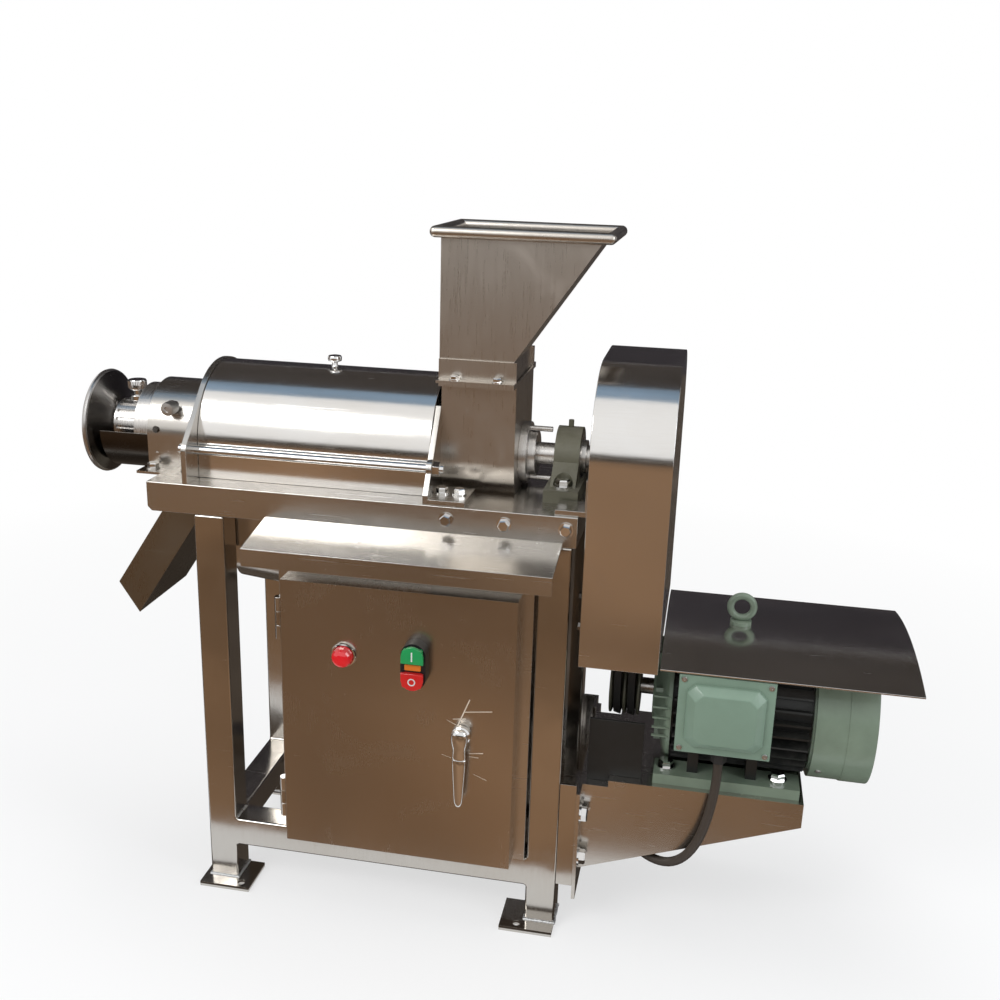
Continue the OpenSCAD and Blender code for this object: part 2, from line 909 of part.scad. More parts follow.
// Black bezel with two pockets for the caps
module button_body() {
  color([0.1, 0.1, 0.1])
  difference() {
    union() {
      on_door(0) linear_extrude(button_proud) stadium(button_hw, button_hh);
      on_door(-barrel_l) cylinder(r = barrel_r, h = barrel_l);
    }
    for (s = [-1, 1])
      on_door(button_proud - cap_pocket - cap_travel - gap)
        translate([0, s * cap_at, 0])
          linear_extrude(cap_pocket + cap_travel + gap + over)
            cap_outline(cap_hw + gap, cap_hh + gap);
  }
}

// Lamp lens between the caps
module button_lamp() {
  color("orange")
  on_door(button_proud) linear_extrude(lens_proud) cap_outline(lens_hw, lens_hh);
}

// Push cap with the hollow that a finger finds
module push_cap(s) {
  on_door(button_proud - cap_pocket)
    translate([0, s * cap_at, 0])
      difference() {
        linear_extrude(cap_pocket + cap_proud) cap_outline(cap_hw, cap_hh);
        translate([0, 0, cap_pocket + cap_proud + 3 * cap_hw - cap_grip])
          sphere(r = 3 * cap_hw);
      }
}

module start_button() {
  color("green") push_cap(1);
}

module stop_button() {
  color("red") push_cap(-1);
}

// Handle that hangs from its boss and turns the cam behind the door
module door_handle() {
  y0 = cab_y0 - door_d;
  color(bright) {
    translate([handle_x, y0 - gap, handle_z]) rotate([90, 0, 0]) {
      cylinder(r = handle_r, h = handle_boss);
      linear_extrude(handle_boss + handle_t) handle_outline();
    }
    translate([handle_x, y0 - gap, handle_z]) rotate([-90, 0, 0])
      cylinder(r = handle_pin_r, h = door_d + cab_t + cam_gap);
  }
}

module handle_outline() {
  circle(r = handle_w / 2);
  translate([0, -handle_l + handle_w / 2]) circle(r = handle_w / 2);
  translate([-handle_w / 2, -handle_l + handle_w / 2]) square([handle_w, handle_l - handle_w / 2]);
}

// Cam that turns in behind the cabinet's lip
module latch_cam() {
  color(bright)
  translate([handle_x, cab_y0 + cab_t + cam_gap - gap, handle_z]) rotate([-90, 0, 0])
    linear_extrude(cam_t) {
      circle(r = cam_w / 2);
      translate([-cam_w / 2, 0]) square([cam_w, cam_l]);
    }
}

// Left end plate: the cover's arch flared into shoulders, bored for the pomace outlet
module left_end_plate() {
  f = half_turn / 2 - plate_flare;
  y1 = plate_hw;
  z1 = axis_z + plate_shoulder_z;
  top = arc([0, axis_z], cover_r + cover_t, f, half_turn - f, 24);
  color(steel)
  upright(left_plate_x, plate_t)
    difference() {
      polygon(concat([[-y1, bed_top], [y1, bed_top]],
          arc([y1 - plate_corner, z1 - plate_corner], plate_corner, 0, f), top,
          arc([plate_corner - y1, z1 - plate_corner], plate_corner, half_turn - f, half_turn)));
      translate([0, axis_z]) circle(r = drum_r);
      for (s = [-1, 1]) translate([s * rod_y, rod_z]) circle(r = rod_r);
    }
}

// Right support plate: a gusset on a bolted foot
module right_support_plate() {
  color(steel)
  difference() {
    union() {
      upright(right_plate_x, plate_t) {
        polygon([[-upright_hw, bed_top], [upright_hw, bed_top],
             [upright_hw, bed_top + support_foot_rise],
             [support_top_hw, support_top_z], [-support_top_hw, support_top_z],
             [-upright_hw, bed_top + support_foot_rise]]);
        for (s = [-1, 1]) translate([s * rod_y, rod_z]) circle(r = rod_ear_r);
        translate([-band_r, axis_z - band_r]) square([2 * band_r, band_r]);
      }
      for (s = [-1, 1])
        block([right_plate_x,
            s < 0 ? -upright_hw : feed_hw + gap, bed_top],
           [right_plate_x + support_foot_l,
            s < 0 ? -feed_hw - gap : upright_hw, bed_top + plate_t]);
    }
    along_x(right_plate_x) bore(drum_r, plate_t);
    for (s = [-1, 1])
      translate([right_plate_x, s * rod_y, rod_z]) rotate([0, 90, 0])
          bore(rod_r, plate_t);
  }
}

// Two tie rods with a nut at each end
module tie_rods() {
  color(bright)
  for (s = [-1, 1])
    translate([0, s * rod_y, rod_z]) rotate([0, 90, 0]) {
      translate([0, 0, left_plate_x - nut_h - rod_tail])
        cylinder(r = rod_r, h = right_plate_x1 - left_plate_x + 2 * (nut_h + rod_tail));
      for (x = [left_plate_x - nut_h, right_plate_x1])
        translate([0, 0, x]) difference() {
          cylinder(r = nut_r, h = nut_h, $fn = 6);
          bore(rod_r, nut_h);
        }
    }
}

// Screen drum: a slotted tube in stiffening bands
module screen_drum() {
  x0 = left_plate_x1;
  l = right_plate_x - x0;
  step = (l - band_w) / (band_count + 1);
  slot_l = step - 2 * band_w;
  color(bright)
  difference() {
    union() {
      along_x(x0) cylinder(r = drum_r + drum_t, h = l);
      for (i = [0:band_count + 1])
        along_x(x0 + i * step) cylinder(r = band_r, h = band_w);
    }
    along_x(x0) bore(drum_r, l);
    for (i = [0:slot_rows - 1])
      for (a = [0:slot_per_row / 2 - 1])
        along_x(x0 + i * step + band_w + (step - band_w - slot_l) / 2)
          rotate([0, 0, (a + 0.5) * 360 / slot_per_row])
            translate([-band_r, -slot_w / 2, 0])
              cube([2 * band_r, slot_w, slot_l]);
  }
}

// Arched cover, open below and at both ends
module cover_shell() {
  color(steel)
  upright(cover_x0, cover_x1 - cover_x0) {
    difference() {
      arch(cover_r, bed_top + gap);
      arch(cover_r - cover_t, bed_top + gap - over);
    }
  }
}

// Outline of an arch about the screw axis with upright sides down to z0
module arch(r, z0) {
  intersection() {
    translate([0, axis_z]) circle(r = r);
    translate([-r, axis_z]) square([2 * r, r]);
  }
  translate([-r, z0]) square([2 * r, axis_z - z0]);
}

// Knob screwed on the cover's crest
module cover_knob() {
  color(dark_steel)
  translate([knob_x, 0, axis_z + cover_r])
    rotate_extrude()
      polygon(concat([[0, 0], [knob_stem_r, 0], [knob_stem_r, knob_h - knob_r]],
          arc([knob_r - knob_stem_r / 2, knob_h - knob_stem_r], knob_stem_r / 2, -90, 0),
          [[knob_r, knob_h - knob_stem_r / 2], [knob_r - knob_stem_r / 2, knob_h],
           [0, knob_h]]));
}

// Section of the juice trough at one end, as a thin slab
module juice_slab(x, z_low, t, top) {
  translate([x, 0, 0]) {
    translate([0, juice_y - juice_r + t, juice_neck_z])
      cube([over, juice_top_hw - juice_y + juice_r - 2 * t, top - juice_neck_z]);
    translate([0, juice_y, z_low + juice_r]) rotate([0, 90, 0])
      cylinder(r = juice_r - t, h = over, $fn = 32);
  }
}

// Juice collector: a trough that narrows and falls towards the spout at the back
module juice_collector() {
  top = bed_top - bed_top_t;
  color(steel)
  difference() {
    union() {
      block([juice_x0, -juice_top_hw, juice_neck_z], [juice_x1, juice_top_hw, top]);
      hull() {
        juice_slab(juice_x0, juice_z_left, 0, juice_neck_z + over);
        juice_slab(juice_x1 - over, juice_z_right, 0, juice_neck_z + over);
      }
      translate([spout_x, juice_y, juice_z_right + juice_r]) rotate([-90, 0, 0]) {
        cylinder(r = spout_r + spout_t, h = juice_r + spout_l);
        cylinder(r = spout_r + 2 * spout_t, h = juice_r + spout_collar_l);
      }
    }
    block([juice_x0 + juice_t, -juice_top_hw + juice_t, juice_neck_z + juice_t],
       [juice_x1 - juice_t, juice_top_hw - juice_t, top + over]);
    hull() {
      juice_slab(juice_x0 + juice_t, juice_z_left, juice_t, juice_neck_z + 2 * juice_t);
      juice_slab(juice_x1 - over - juice_t, juice_z_right, juice_t, juice_neck_z + 2 * juice_t);
    }
    translate([spout_x, juice_y, juice_z_right + juice_r]) rotate([-90, 0, 0])
      cylinder(r = spout_r, h = juice_r + spout_l + over);
    along_x(juice_x0) bore(band_r + gap, juice_x1 - juice_x0);
  }
}

// Discharge housing: an arched shell with its foot flange and left wall
module discharge_housing() {
  color(steel)
  difference() {
    union() {
      upright(house_x0, left_plate_x - house_x0) arch(house_r, bed_top);
      block([house_x0, -house_hw, bed_top], [left_plate_x, house_hw, bed_top + house_foot_t]);
    }
    translate([house_t, 0, 0])
      upright(house_x0, left_plate_x - house_x0 + over)
        arch(house_r - house_t, bed_top - over);
    along_x(house_x0) bore(house_bore, house_t);
    translate([stud_x, 0, stud_z]) rotate([90, 0, 0])
      cylinder(r = rod_r, h = house_r + over);
  }
}

// Ring flange bolted on the housing's left wall
module ring_flange() {
  color(steel)
  difference() {
    along_x(house_x0 - ring_l) cylinder(r = ring_r, h = ring_l);
    along_x(house_x0 - ring_l) bore(neck_bore + run, ring_l);
  }
}

// Ribbed neck: the nut that the adjusting spindle turns in
module ribbed_neck() {
  x0 = house_x0 - ring_l - neck_l;
  color(bright)
  difference() {
    along_x(x0) cylinder(r = neck_r, h = neck_l);
    along_x(x0) bore(neck_bore, neck_l);
    for (i = [0:neck_slots - 1])
      along_x(x0 + neck_slot_d)
        rotate([0, 0, (i + 0.5) * 360 / neck_slots])
          translate([neck_r - neck_slot_d, -neck_slot_w / 2, 0])
            cube([neck_r, neck_slot_w, neck_l - 2 * neck_slot_d]);
    translate([lock_x, 0, axis_z]) cylinder(r = lock_r + run, h = neck_r + over);
  }
}

// Adjusting spindle, bored for the shaft's left journal
module adjusting_spindle() {
  color(bright)
  along_x(wheel_x1 - wheel_cap)
    rotate_extrude()
      polygon([[journal_r + run, 0], [spindle_r, 0],
           [spindle_r, cone_x0 - gap - wheel_x1 + wheel_cap],
           [spindle_tip_r, cone_x0 - gap - wheel_x1 + wheel_cap],
           [spindle_tip_r, journal_x - 2 * tip_gap - wheel_x1 + wheel_cap],
           [journal_r + run, journal_x - 2 * tip_gap - wheel_x1 + wheel_cap]]);
}

// Pressure cone that narrows the pomace outlet
module pressure_cone() {
  color(bright)
  along_x(0)
    rotate_extrude()
      polygon([[spindle_tip_r + run, cone_x0], [cone_hub_r, cone_x0],
           [cone_hub_r, cone_rim_x - wheel_t], [cone_base_r, cone_rim_x - wheel_t],
           [cone_base_r, cone_rim_x], [cone_nose_r, cone_x1],
           [shaft_r + run, cone_x1], [shaft_r + run, journal_x - tip_gap],
           [spindle_tip_r + run, journal_x - tip_gap]]);
}

// Dished handwheel with a beaded rim
module handwheel() {
  x0 = wheel_x1 - wheel_l;
  color(dark_steel)
  along_x(x0)
    rotate_extrude() {
      polygon([[0, wheel_l - wheel_cap - wheel_t],
           [wheel_hub_r - wheel_cap, wheel_l - wheel_cap - wheel_t],
           [wheel_r - wheel_t, 0], [wheel_r, 0],
           [wheel_hub_r, wheel_l], [spindle_r + gap, wheel_l],
           [spindle_r + gap, wheel_l - wheel_cap], [0, wheel_l - wheel_cap]]);
      translate([wheel_r - wheel_bead / 2, 0]) circle(r = wheel_bead);
    }
}

// Thumb screw with its lock nut on the neck
module lock_screw() {
  z0 = axis_z + spindle_r + gap;
  z1 = axis_z + neck_r;
  color(dark_steel)
  translate([lock_x, 0, 0]) {
    translate([0, 0, z0]) cylinder(r = lock_r, h = z1 - z0 + lock_nut_h + lock_neck_h);
    translate([0, 0, z1 + gap]) cylinder(r = lock_nut_r, h = lock_nut_h, $fn = 6);
    translate([0, 0, z1 + lock_nut_h + lock_neck_h])
      cylinder(r = lock_head_r, h = lock_head_h);
  }
}

// Half-round shield that catches drips under the neck
module drip_shield() {
  color(dark_steel)
  difference() {
    along_x(shield_x0) cylinder(r = shield_r, h = house_x0 - shield_x0);
    along_x(shield_x0) bore(shield_r - shield_t, house_x0 - shield_x0);
    block([shield_x0 - over, -shield_r - over, axis_z],
       [house_x0 + over, shield_r + over, axis_z + shield_r + over]);
  }
}

// Side outline of the chute: a bent duct under the bed, drawn in from its faces by t
module chute_outline(t, run_out) {
  s = [cos(chute_angle), sin(chute_angle)];
  n = [sin(chute_angle), -cos(chute_angle)];
  dx = t / sin(chute_angle);
  p0 = [chute_x0 + dx, bed_z];
  p1 = [chute_x1 - dx, bed_z];
  lip = chute_drop - chute_lip;
  q0 = p0 - s * (chute_drop / sin(chute_angle) + run_out);
  d = ((p1 - p0) * n);
  q1 = q0 + n * d - s * chute_lip;
  polygon([p0 + s * run_out, q0, q1, p1 + s * run_out]);
}

// Pomace chute under the bed, open at its top and its lower mouth
module pomace_chute() {
  color(steel)
  difference() {
    facing(-chute_hw, 2 * chute_hw) chute_outline(0, 0);
    facing(-chute_hw + chute_t, 2 * (chute_hw - chute_t)) chute_outline(chute_t, 2 * over);
  }
}

// Core radius of the screw at x
function core_r(x) =
  x > auger_taper_x
    ? core_r_feed + (core_r_press - core_r_feed) * (auger_x1 - x) / (auger_x1 - auger_taper_x)
      * flight_share
    : core_r(auger_taper_x + over) + (core_r_press - core_r(auger_taper_x + over))
      * (auger_taper_x - x) / (auger_taper_x - auger_x0);

// Turn of the flight at x: the pitch falls steadily from the feed end to the pressing end
turn_rate = (pitch_feed - pitch_press) / (auger_x1 - auger_x0);
function pitch(x) = pitch_press + turn_rate * (x - auger_x0);
function turn(x) = 360 * ln(pitch(x) / pitch_press) / turn_rate;
function x_at(a) = auger_x0 + pitch_press * (exp(a * turn_rate / 360) - 1) / turn_rate;

flight_x0 = auger_x0 + flight_t;
flight_x1 = auger_x1 - flight_t;

// Flight of the screw as one swept ribbon
module flight() {
  a0 = turn(flight_x0);
  a1 = turn(flight_x1);
  n = ceil((a1 - a0) * flight_steps / 360);
  sink = flight_t / 2;
  rings = [for (i = [0:n])
    let (a = a0 + (a1 - a0) * i / n, x = x_at(a), r = core_r(x) - sink, h = flight_t / 2)
    [for (p = [[r, x - h], [auger_r, x - h], [auger_r, x + h], [r, x + h]])
      [p[0] * cos(a), p[0] * sin(a), p[1]]]];
  points = [for (ring = rings) for (p = ring) p];
  sides = [for (i = [0:n - 1]) for (k = [0:3])
    let (a = 4 * i + k, b = 4 * i + (k + 1) % 4)
    each [[a, b, b + 4], [a, b + 4, a + 4]]];
  polyhedron(points, concat(sides, [[3, 2, 1, 0]],
    [[4 * n, 4 * n + 1, 4 * n + 2, 4 * n + 3]]));
}

// Pressing screw: a core that swells while the pitch of its flight falls
module auger() {
  xs = [auger_x0, auger_taper_x, auger_x1];
  color(bright)
  along_x(0)
    difference() {
      union() {
        rotate_extrude()
          polygon(concat([[0, auger_x0]], [for (x = xs) [core_r(x), x]], [[0, auger_x1]]));
        flight();
      }
      translate([0, 0, auger_x0]) bore(shaft_r, auger_x1 - auger_x0);
    }
}

// Main shaft with its left journal
module main_shaft() {
  x1 = pulley_x + pulley_w / 2 + wheel_cap;
  color(bright)
  along_x(0)
    rotate_extrude()
      polygon([[0, wheel_x1 + over], [journal_r, wheel_x1 + over], [journal_r, journal_x],
           [shaft_r, journal_x], [shaft_r, x1 - over], [shaft_r - over, x1], [0, x1]]);
}

// Outline of the feed trough: a round bottom under upright walls
module trough(r, hw, z1) {
  translate([0, axis_z]) circle(r = r);
  translate([-hw, axis_z]) square([2 * hw, z1 - axis_z]);
}

// Feed box: a round-bottomed trough with a bolting flange on top
module feed_box() {
  l = feed_x1 - feed_x0;
  color(steel)
  difference() {
    union() {
      upright(feed_x0, l) trough(feed_hw, feed_hw, feed_top_z);
      for (s = [-1, 1])
        block([feed_x0, s < 0 ? -feed_hw - leaf_w : feed_hw - feed_t, feed_top_z - flange_t],
           [feed_x1, s < 0 ? -feed_hw + feed_t : feed_hw + leaf_w, feed_top_z]);
    }
    upright(feed_x0 + feed_t, l - 2 * feed_t)
      trough(drum_r, feed_hw - feed_t, feed_top_z + over);
    along_x(feed_x0) bore(drum_r, feed_t);
    along_x(feed_x1 - feed_t) bore(shaft_r + gap, feed_t);
    for (s = [-1, 1])
      for (x = flange_bolt_x)
        translate([x, s * flange_bolt_y, feed_top_z - flange_t]) bore(bolt_r, flange_t);
  }
}

// Side outline of the hopper between its throat and its mouth
module hopper_outline(t) {
  x0 = feed_x0 - plate_t / 2;
  z0 = feed_top_z;
  z1 = hopper_top_z;
  polygon([[x0 + t, z0 - t], [throat_x1 - t, z0 - t], [throat_x1 - t, z0 + throat_rise],
       [hopper_top_x - t, z1 + t], [x0 + t, z1 + t]]);
}

// Hopper: a folded shell with its angle flange and rolled rim
module hopper() {
  x0 = feed_x0 - plate_t / 2;
  color(steel)
  difference() {
    union() {
      facing(-feed_hw, 2 * feed_hw) hopper_outline(0);
      for (s = [-1, 1]) {
        block([x0, s < 0 ? -feed_hw - angle_t : feed_hw - hopper_t, feed_top_z],
           [feed_x1, s < 0 ? -feed_hw + hopper_t : feed_hw + angle_t,
            feed_top_z + angle_h]);
        block([x0, s < 0 ? -feed_hw - leaf_w : feed_hw, feed_top_z],
           [feed_x1, s < 0 ? -feed_hw : feed_hw + leaf_w, feed_top_z + angle_t]);
      }
      rim_loop(x0 - rim_r + over, hopper_top_x + rim_r - over, feed_hw + rim_r - over);
    }
    facing(-feed_hw + hopper_t, 2 * (feed_hw - hopper_t)) hopper_outline(hopper_t);
    for (s = [-1, 1])
      for (x = flange_bolt_x)
        translate([x, s * flange_bolt_y, feed_top_z]) bore(bolt_r, angle_t);
  }
}

// Rolled rim: four tubes that meet in round corners
module rim_loop(x0, x1, hw) {
  for (s = [-1, 1])
    translate([x0, s * hw, hopper_top_z]) rotate([0, 90, 0]) cylinder(r = rim_r, h = x1 - x0);
  for (x = [x0, x1])
    translate([x, hw, hopper_top_z]) rotate([90, 0, 0]) cylinder(r = rim_r, h = 2 * hw);
  for (x = [x0, x1])
    for (s = [-1, 1])
      translate([x, s * hw, hopper_top_z]) sphere(r = rim_r);
}

// Shaft seal: a flange with its boss and two studs
module shaft_seal() {
  color(bright)
  difference() {
    union() {
      along_x(feed_x1) cylinder(r = seal_flange_r, h = seal_flange_t);
      along_x(feed_x1) cylinder(r = seal_boss_r, h = seal_l);
      for (s = [-1, 1])
        translate([feed_x1 + seal_flange_t, 0, axis_z + s * (seal_boss_r + seal_stud_r + gap)])
          rotate([0, 90, 0])
            cylinder(r = seal_stud_r, h = seal_l + seal_stud_l);
    }
    along_x(feed_x1) bore(shaft_r + run, seal_l);
  }
}

// Cast pillow block: bolted base, web and bearing ring
module pillow_block() {
  color(cast_green)
  difference() {
    union() {
      block([bearing_x - base_w / 2, -base_l / 2, bed_top],
         [bearing_x + base_w / 2, base_l / 2, bed_top + base_h]);
      along_x(bearing_x - bearing_w / 2) cylinder(r = bearing_r, h = bearing_w);
      upright(bearing_x - bearing_w / 2, bearing_w)
        polygon([[-base_l / 2 + base_h, bed_top + base_h - over],
             [base_l / 2 - base_h, bed_top + base_h - over],
             [bearing_r, axis_z], [-bearing_r, axis_z]]);
      translate([bearing_x, 0, axis_z + bearing_r - over])
        cylinder(r = nipple_r, h = nipple_h + over);
    }
    along_x(bearing_x - bearing_w / 2) bore(insert_r, bearing_w);
    for (s = [-1, 1])
      translate([bearing_x, s * bearing_bolt_dy / 2, bed_top - over])
        cylinder(r = rod_r, h = bearing_h_cut);
    for (s = [-1, 1])
      translate([bearing_x, s * bearing_bolt_dy / 2, bed_top + base_h])
        cylinder(r = washer_r * big_hex_r / hex_r + gap, h = bearing_h_cut);
  }
}

// Bearing insert with its collar
module bearing_insert() {
  color(bright)
  difference() {
    union() {
      along_x(bearing_x - bearing_w / 2) cylinder(r = insert_r, h = bearing_w);
      along_x(bearing_x - bearing_w / 2) cylinder(r = collar_r, h = insert_w);
    }
    along_x(bearing_x - bearing_w / 2) bore(shaft_r + run, insert_w);
  }
}

// Angle brackets that carry the belt guard on the bed
module guard_brackets() {
  color(steel)
  for (s = [-1, 1]) {
    y0 = s < 0 ? -bracket_y1 : bracket_y0;
    block([bearing_x, y0, bed_top], [guard_x0, y0 + bracket_y1 - bracket_y0, bed_top + plate_t]);
    block([guard_x0 - bracket_t, y0, bed_top],
       [guard_x0, y0 + bracket_y1 - bracket_y0, bed_top + bracket_h]);
  }
}

// Outline of the belt guard: upright sides into rounded top corners
module guard_outline(t) {
  hw = guard_hw - t;
  r = guard_corner - t;
  c = [guard_hw - guard_corner, guard_z1 - guard_corner];
  polygon(concat([[-hw, guard_z0 - (t > 0 ? over : 0)], [hw, guard_z0 - (t > 0 ? over : 0)]],
      arc(c, r, 0, 90, 16), arc([-c[0], c[1]], r, 90, 180, 16)));
}

// Belt guard: a deep shell open below, with a hole for the main shaft
module belt_guard() {
  color(steel)
  difference() {
    upright(guard_x0, guard_w) guard_outline(0);
    upright(guard_x0 + guard_t, guard_w - 2 * guard_t) guard_outline(guard_t);
    along_x(guard_x0) bore(shaft_hole_r, guard_t);
  }
}

// V-belt pulley about the x axis at the origin, for a shaft of radius bore, dished from hub to rim
module pulley(r, bore, rim) {
  half = groove_w / 2;
  low = half - groove_h * tan(groove_angle);
  rotate([0, 90, 0])
    rotate_extrude()
      difference() {
        translate([bore, -pulley_w / 2]) square([r - bore, pulley_w]);
        for (s = [-1, 1])
          translate([0, s * belt_gap / 2])
            polygon([[r + over, half + over * tan(groove_angle)], [r - groove_h, low],
                [r - groove_h, -low], [r + over, -half - over * tan(groove_angle)]]);
        if (rim > hub_r)
          for (s = [-1, 1])
            polygon([[hub_r, s * pulley_w], [hub_r, s * web_t / 2], [rim, s * web_t / 2],
                [rim, s * pulley_w]]);
      }
}

// Large pulley: grooved rim, thin web and a hub on the shaft
module large_pulley() {
  color(dark_steel)
  translate([pulley_x, 0, axis_z]) pulley(big_r, shaft_r, big_r - groove_h - rim_t);
}

// Small pulley on the motor shaft
module small_pulley() {
  color(dark_steel)
  translate([pulley_x, 0, motor_z]) pulley(small_r, motor_shaft_r, 0);
}

// Trapezium section of a belt that lies in a groove of a pulley of radius r
belt_half = groove_w / 2 - belt_sunk * tan(groove_angle) - gap / cos(groove_angle);
belt_low = belt_half - belt_h * tan(groove_angle);
function belt_section(r) =
  [[r - belt_sunk, belt_half], [r - belt_sunk - belt_h, belt_low],
   [r - belt_sunk - belt_h, -belt_low], [r - belt_sunk, -belt_half]];

// One belt: its section carried round the large pulley, down, and round the small one
module drive_belt() {
  d = axis_z - motor_z;
  tilt = asin((big_r - small_r) / d);
  stations = concat(
    [for (i = [0:belt_steps_big]) [axis_z, big_r, -tilt + (180 + 2 * tilt) * i / belt_steps_big]],
    [for (i = [0:belt_steps_small])
      [motor_z, small_r, 180 + tilt + (180 - 2 * tilt) * i / belt_steps_small]]);
  n = len(stations);
  points = [for (q = stations) for (p = belt_section(q[1]))
    [p[1], p[0] * cos(q[2]), q[0] + p[0] * sin(q[2])]];
  walls = [for (i = [0:n - 1]) for (k = [0:3])
    let (a = 4 * i + k, b = 4 * i + (k + 1) % 4, c = 4 * ((i + 1) % n) + (k + 1) % 4,
       e = 4 * ((i + 1) % n) + k)
    each [[a, b, c], [a, c, e]]];
  polyhedron(points, walls);
}

module drive_belts() {
  color(rubber)
  for (s = [-1, 1]) translate([pulley_x + s * belt_gap / 2, 0, 0]) drive_belt();
}

// Dark plate that stands on the bracket in front of the small pulley
module pulley_plate() {
  color(dark_steel)
  facing(pulley_plate_y, bracket_sheet)
    polygon([[pulley_plate_x0, motor_foot_z - notch_h], [notch_x - gap, motor_foot_z - notch_h],
         [notch_x - gap, motor_foot_z], [pulley_plate_x1, motor_foot_z],
         [pulley_plate_x1, pulley_plate_z1], [pulley_plate_x0, pulley_plate_z1]]);
}

// Motor bracket: a bolted upright, a level plate and two gussets
module motor_bracket() {
  color(steel)
  difference() {
    union() {
      block([upright_x, -upright_hw, plate_z0],
         [upright_x + bracket_sheet, upright_hw, motor_foot_z - notch_h]);
      block([notch_x, -bracket_hw, motor_foot_z - bracket_sheet],
         [gusset_x1, bracket_hw, motor_foot_z]);
      block([upright_x, -bracket_hw, motor_foot_z - notch_h - bracket_sheet],
         [notch_x + bracket_sheet, bracket_hw, motor_foot_z - notch_h]);
      for (y = [-bracket_hw, bracket_hw - bracket_sheet])
        facing(y, bracket_sheet)
          polygon([[upright_x, gusset_low_z], [gusset_x1, gusset_end_z],
               [gusset_x1, motor_foot_z], [notch_x, motor_foot_z],
               [notch_x, motor_foot_z - notch_h],
               [upright_x, motor_foot_z - notch_h]]);
    }
    translate([upright_x, cable_hole_y, cable_hole_z]) rotate([0, 90, 0])
          bore(cable_hole_r, bracket_sheet);
    for (s = [-1, 1])
      for (x = [foot_bolt_x, foot_bolt_x + foot_bolt_dx])
        translate([x, s * foot_bolt_dy / 2, motor_foot_z - bracket_sheet]) bore(foot_bolt_r, bracket_sheet);
    for (s = [-1, 1])
      for (z = rail_bolt_z)
        translate([upright_x, s * rail_bolt_y, z]) rotate([0, 90, 0])
          bore(foot_bolt_r, bracket_sheet);
  }
}

// Upright rails welded on the right legs, with the slots that tension the belts
module bracket_rails() {
  color(steel)
  for (s = [-1, 1])
    difference() {
      block([rail_x0, s < 0 ? front_y : -front_y - leg_t, rail_z0],
         [upright_x, s < 0 ? front_y + leg_t : -front_y, rail_z1]);
      block([rail_x0 - over, s < 0 ? front_y + bracket_sheet : -front_y - leg_t - over,
          rail_z0 - over],
         [upright_x - bracket_sheet,
          s < 0 ? front_y + leg_t + over : -front_y - bracket_sheet, rail_z1 + over]);
      for (z = rail_bolt_z)
        translate([upright_x - bracket_sheet - over, s * rail_bolt_y, z])
          rotate([0, 90, 0])
            hull()
              for (d = [-1, 1])
                translate([d * slot_half, 0, 0])
                  cylinder(r = foot_bolt_r, h = bracket_sheet + 2 * over, $fn = 32);
    }
}

// Axis of the motor, turned to lie along the machine
module motor_axis(x) {
  translate([x, 0, motor_z]) rotate([0, 90, 0]) children();
}

// Finned stator frame with its feet
module motor_frame() {
  l = frame_x1 - frame_x0;
  color(motor_green)
  difference() {
    union() {
      motor_axis(frame_x0) cylinder(r = frame_r, h = l);
      for (i = [0:fin_count - 1])
        motor_axis(frame_x0 + fin_t)
          rotate([0, 0, (i + 0.5) * 360 / fin_count])
            translate([frame_r - fin_t, -fin_t / 2, 0])
              cube([motor_r - frame_r + fin_t, fin_t, l - 2 * fin_t]);
      for (s = [-1, 1]) {
        block([foot_x0, s < 0 ? -foot_y : foot_y - foot_w, motor_foot_z],
           [foot_x1, s < 0 ? -foot_y + foot_w : foot_y, motor_foot_z + foot_h]);
        for (x = [foot_bolt_x + 2 * foot_leg_t, foot_bolt_x + foot_bolt_dx - 3 * foot_leg_t])
          block([x, s < 0 ? -foot_y + foot_leg_t : foot_y - foot_w, motor_foot_z],
             [x + foot_leg_t, s < 0 ? -foot_y + foot_w : foot_y - foot_leg_t,
              motor_z - foot_y / 2]);
      }
      translate([eye_x, 0, motor_z + frame_r - fin_t])
        cylinder(r = 2 * eye_stem_r,
             h = hood_z + hood_rise - hood_t - motor_z - frame_r + fin_t - gap);
      block([tbox_x0 + 2 * plate_t, tbox_y1, tbox_z0 + 2 * plate_t],
         [tbox_x1 - 2 * plate_t, -frame_r * pad_share, tbox_z1 - 4 * plate_t]);
    }
    motor_axis(frame_x0) bore(stator_r, l);
    translate([eye_x, 0, eye_root]) cylinder(r = eye_stem_r, h = frame_r);
    for (s = [-1, 1])
      for (x = [foot_bolt_x, foot_bolt_x + foot_bolt_dx])
        translate([x, s * foot_bolt_dy / 2, motor_foot_z]) bore(foot_bolt_r, foot_h);
  }
}

// End bells that carry the motor's bearings, the front one ribbed
module motor_end_bells() {
  l = frame_x0 - motor_x0;
  color(motor_green) {
    motor_axis(0)
      rotate_extrude()
        polygon([[motor_shaft_r + run, motor_x0], [bell_cone_r, motor_x0],
             [bell_cone_r + bell_nose, motor_x0 + bell_nose],
             [frame_r - bell_nose, motor_x0 + l / 2],
             [motor_r - bell_nose, motor_x0 + l / 2 + bell_nose],
             [motor_r, frame_x0 - bell_nose], [motor_r, frame_x0],
             [motor_shaft_r + run, frame_x0]]);
    for (i = [0:bell_ribs - 1])
      motor_axis(motor_x0 + bell_nose)
        rotate([0, 0, (i + 0.5) * 360 / bell_ribs])
          translate([bell_cone_r - bell_nose, -fin_t, 0])
            cube([frame_r - bell_cone_r, 2 * fin_t, l / 2]);
    motor_axis(frame_x1)
      difference() {
        cylinder(r = motor_r - bell_nose, h = foot_h);
        bore(motor_shaft_r + run, foot_h);
      }
  }
}

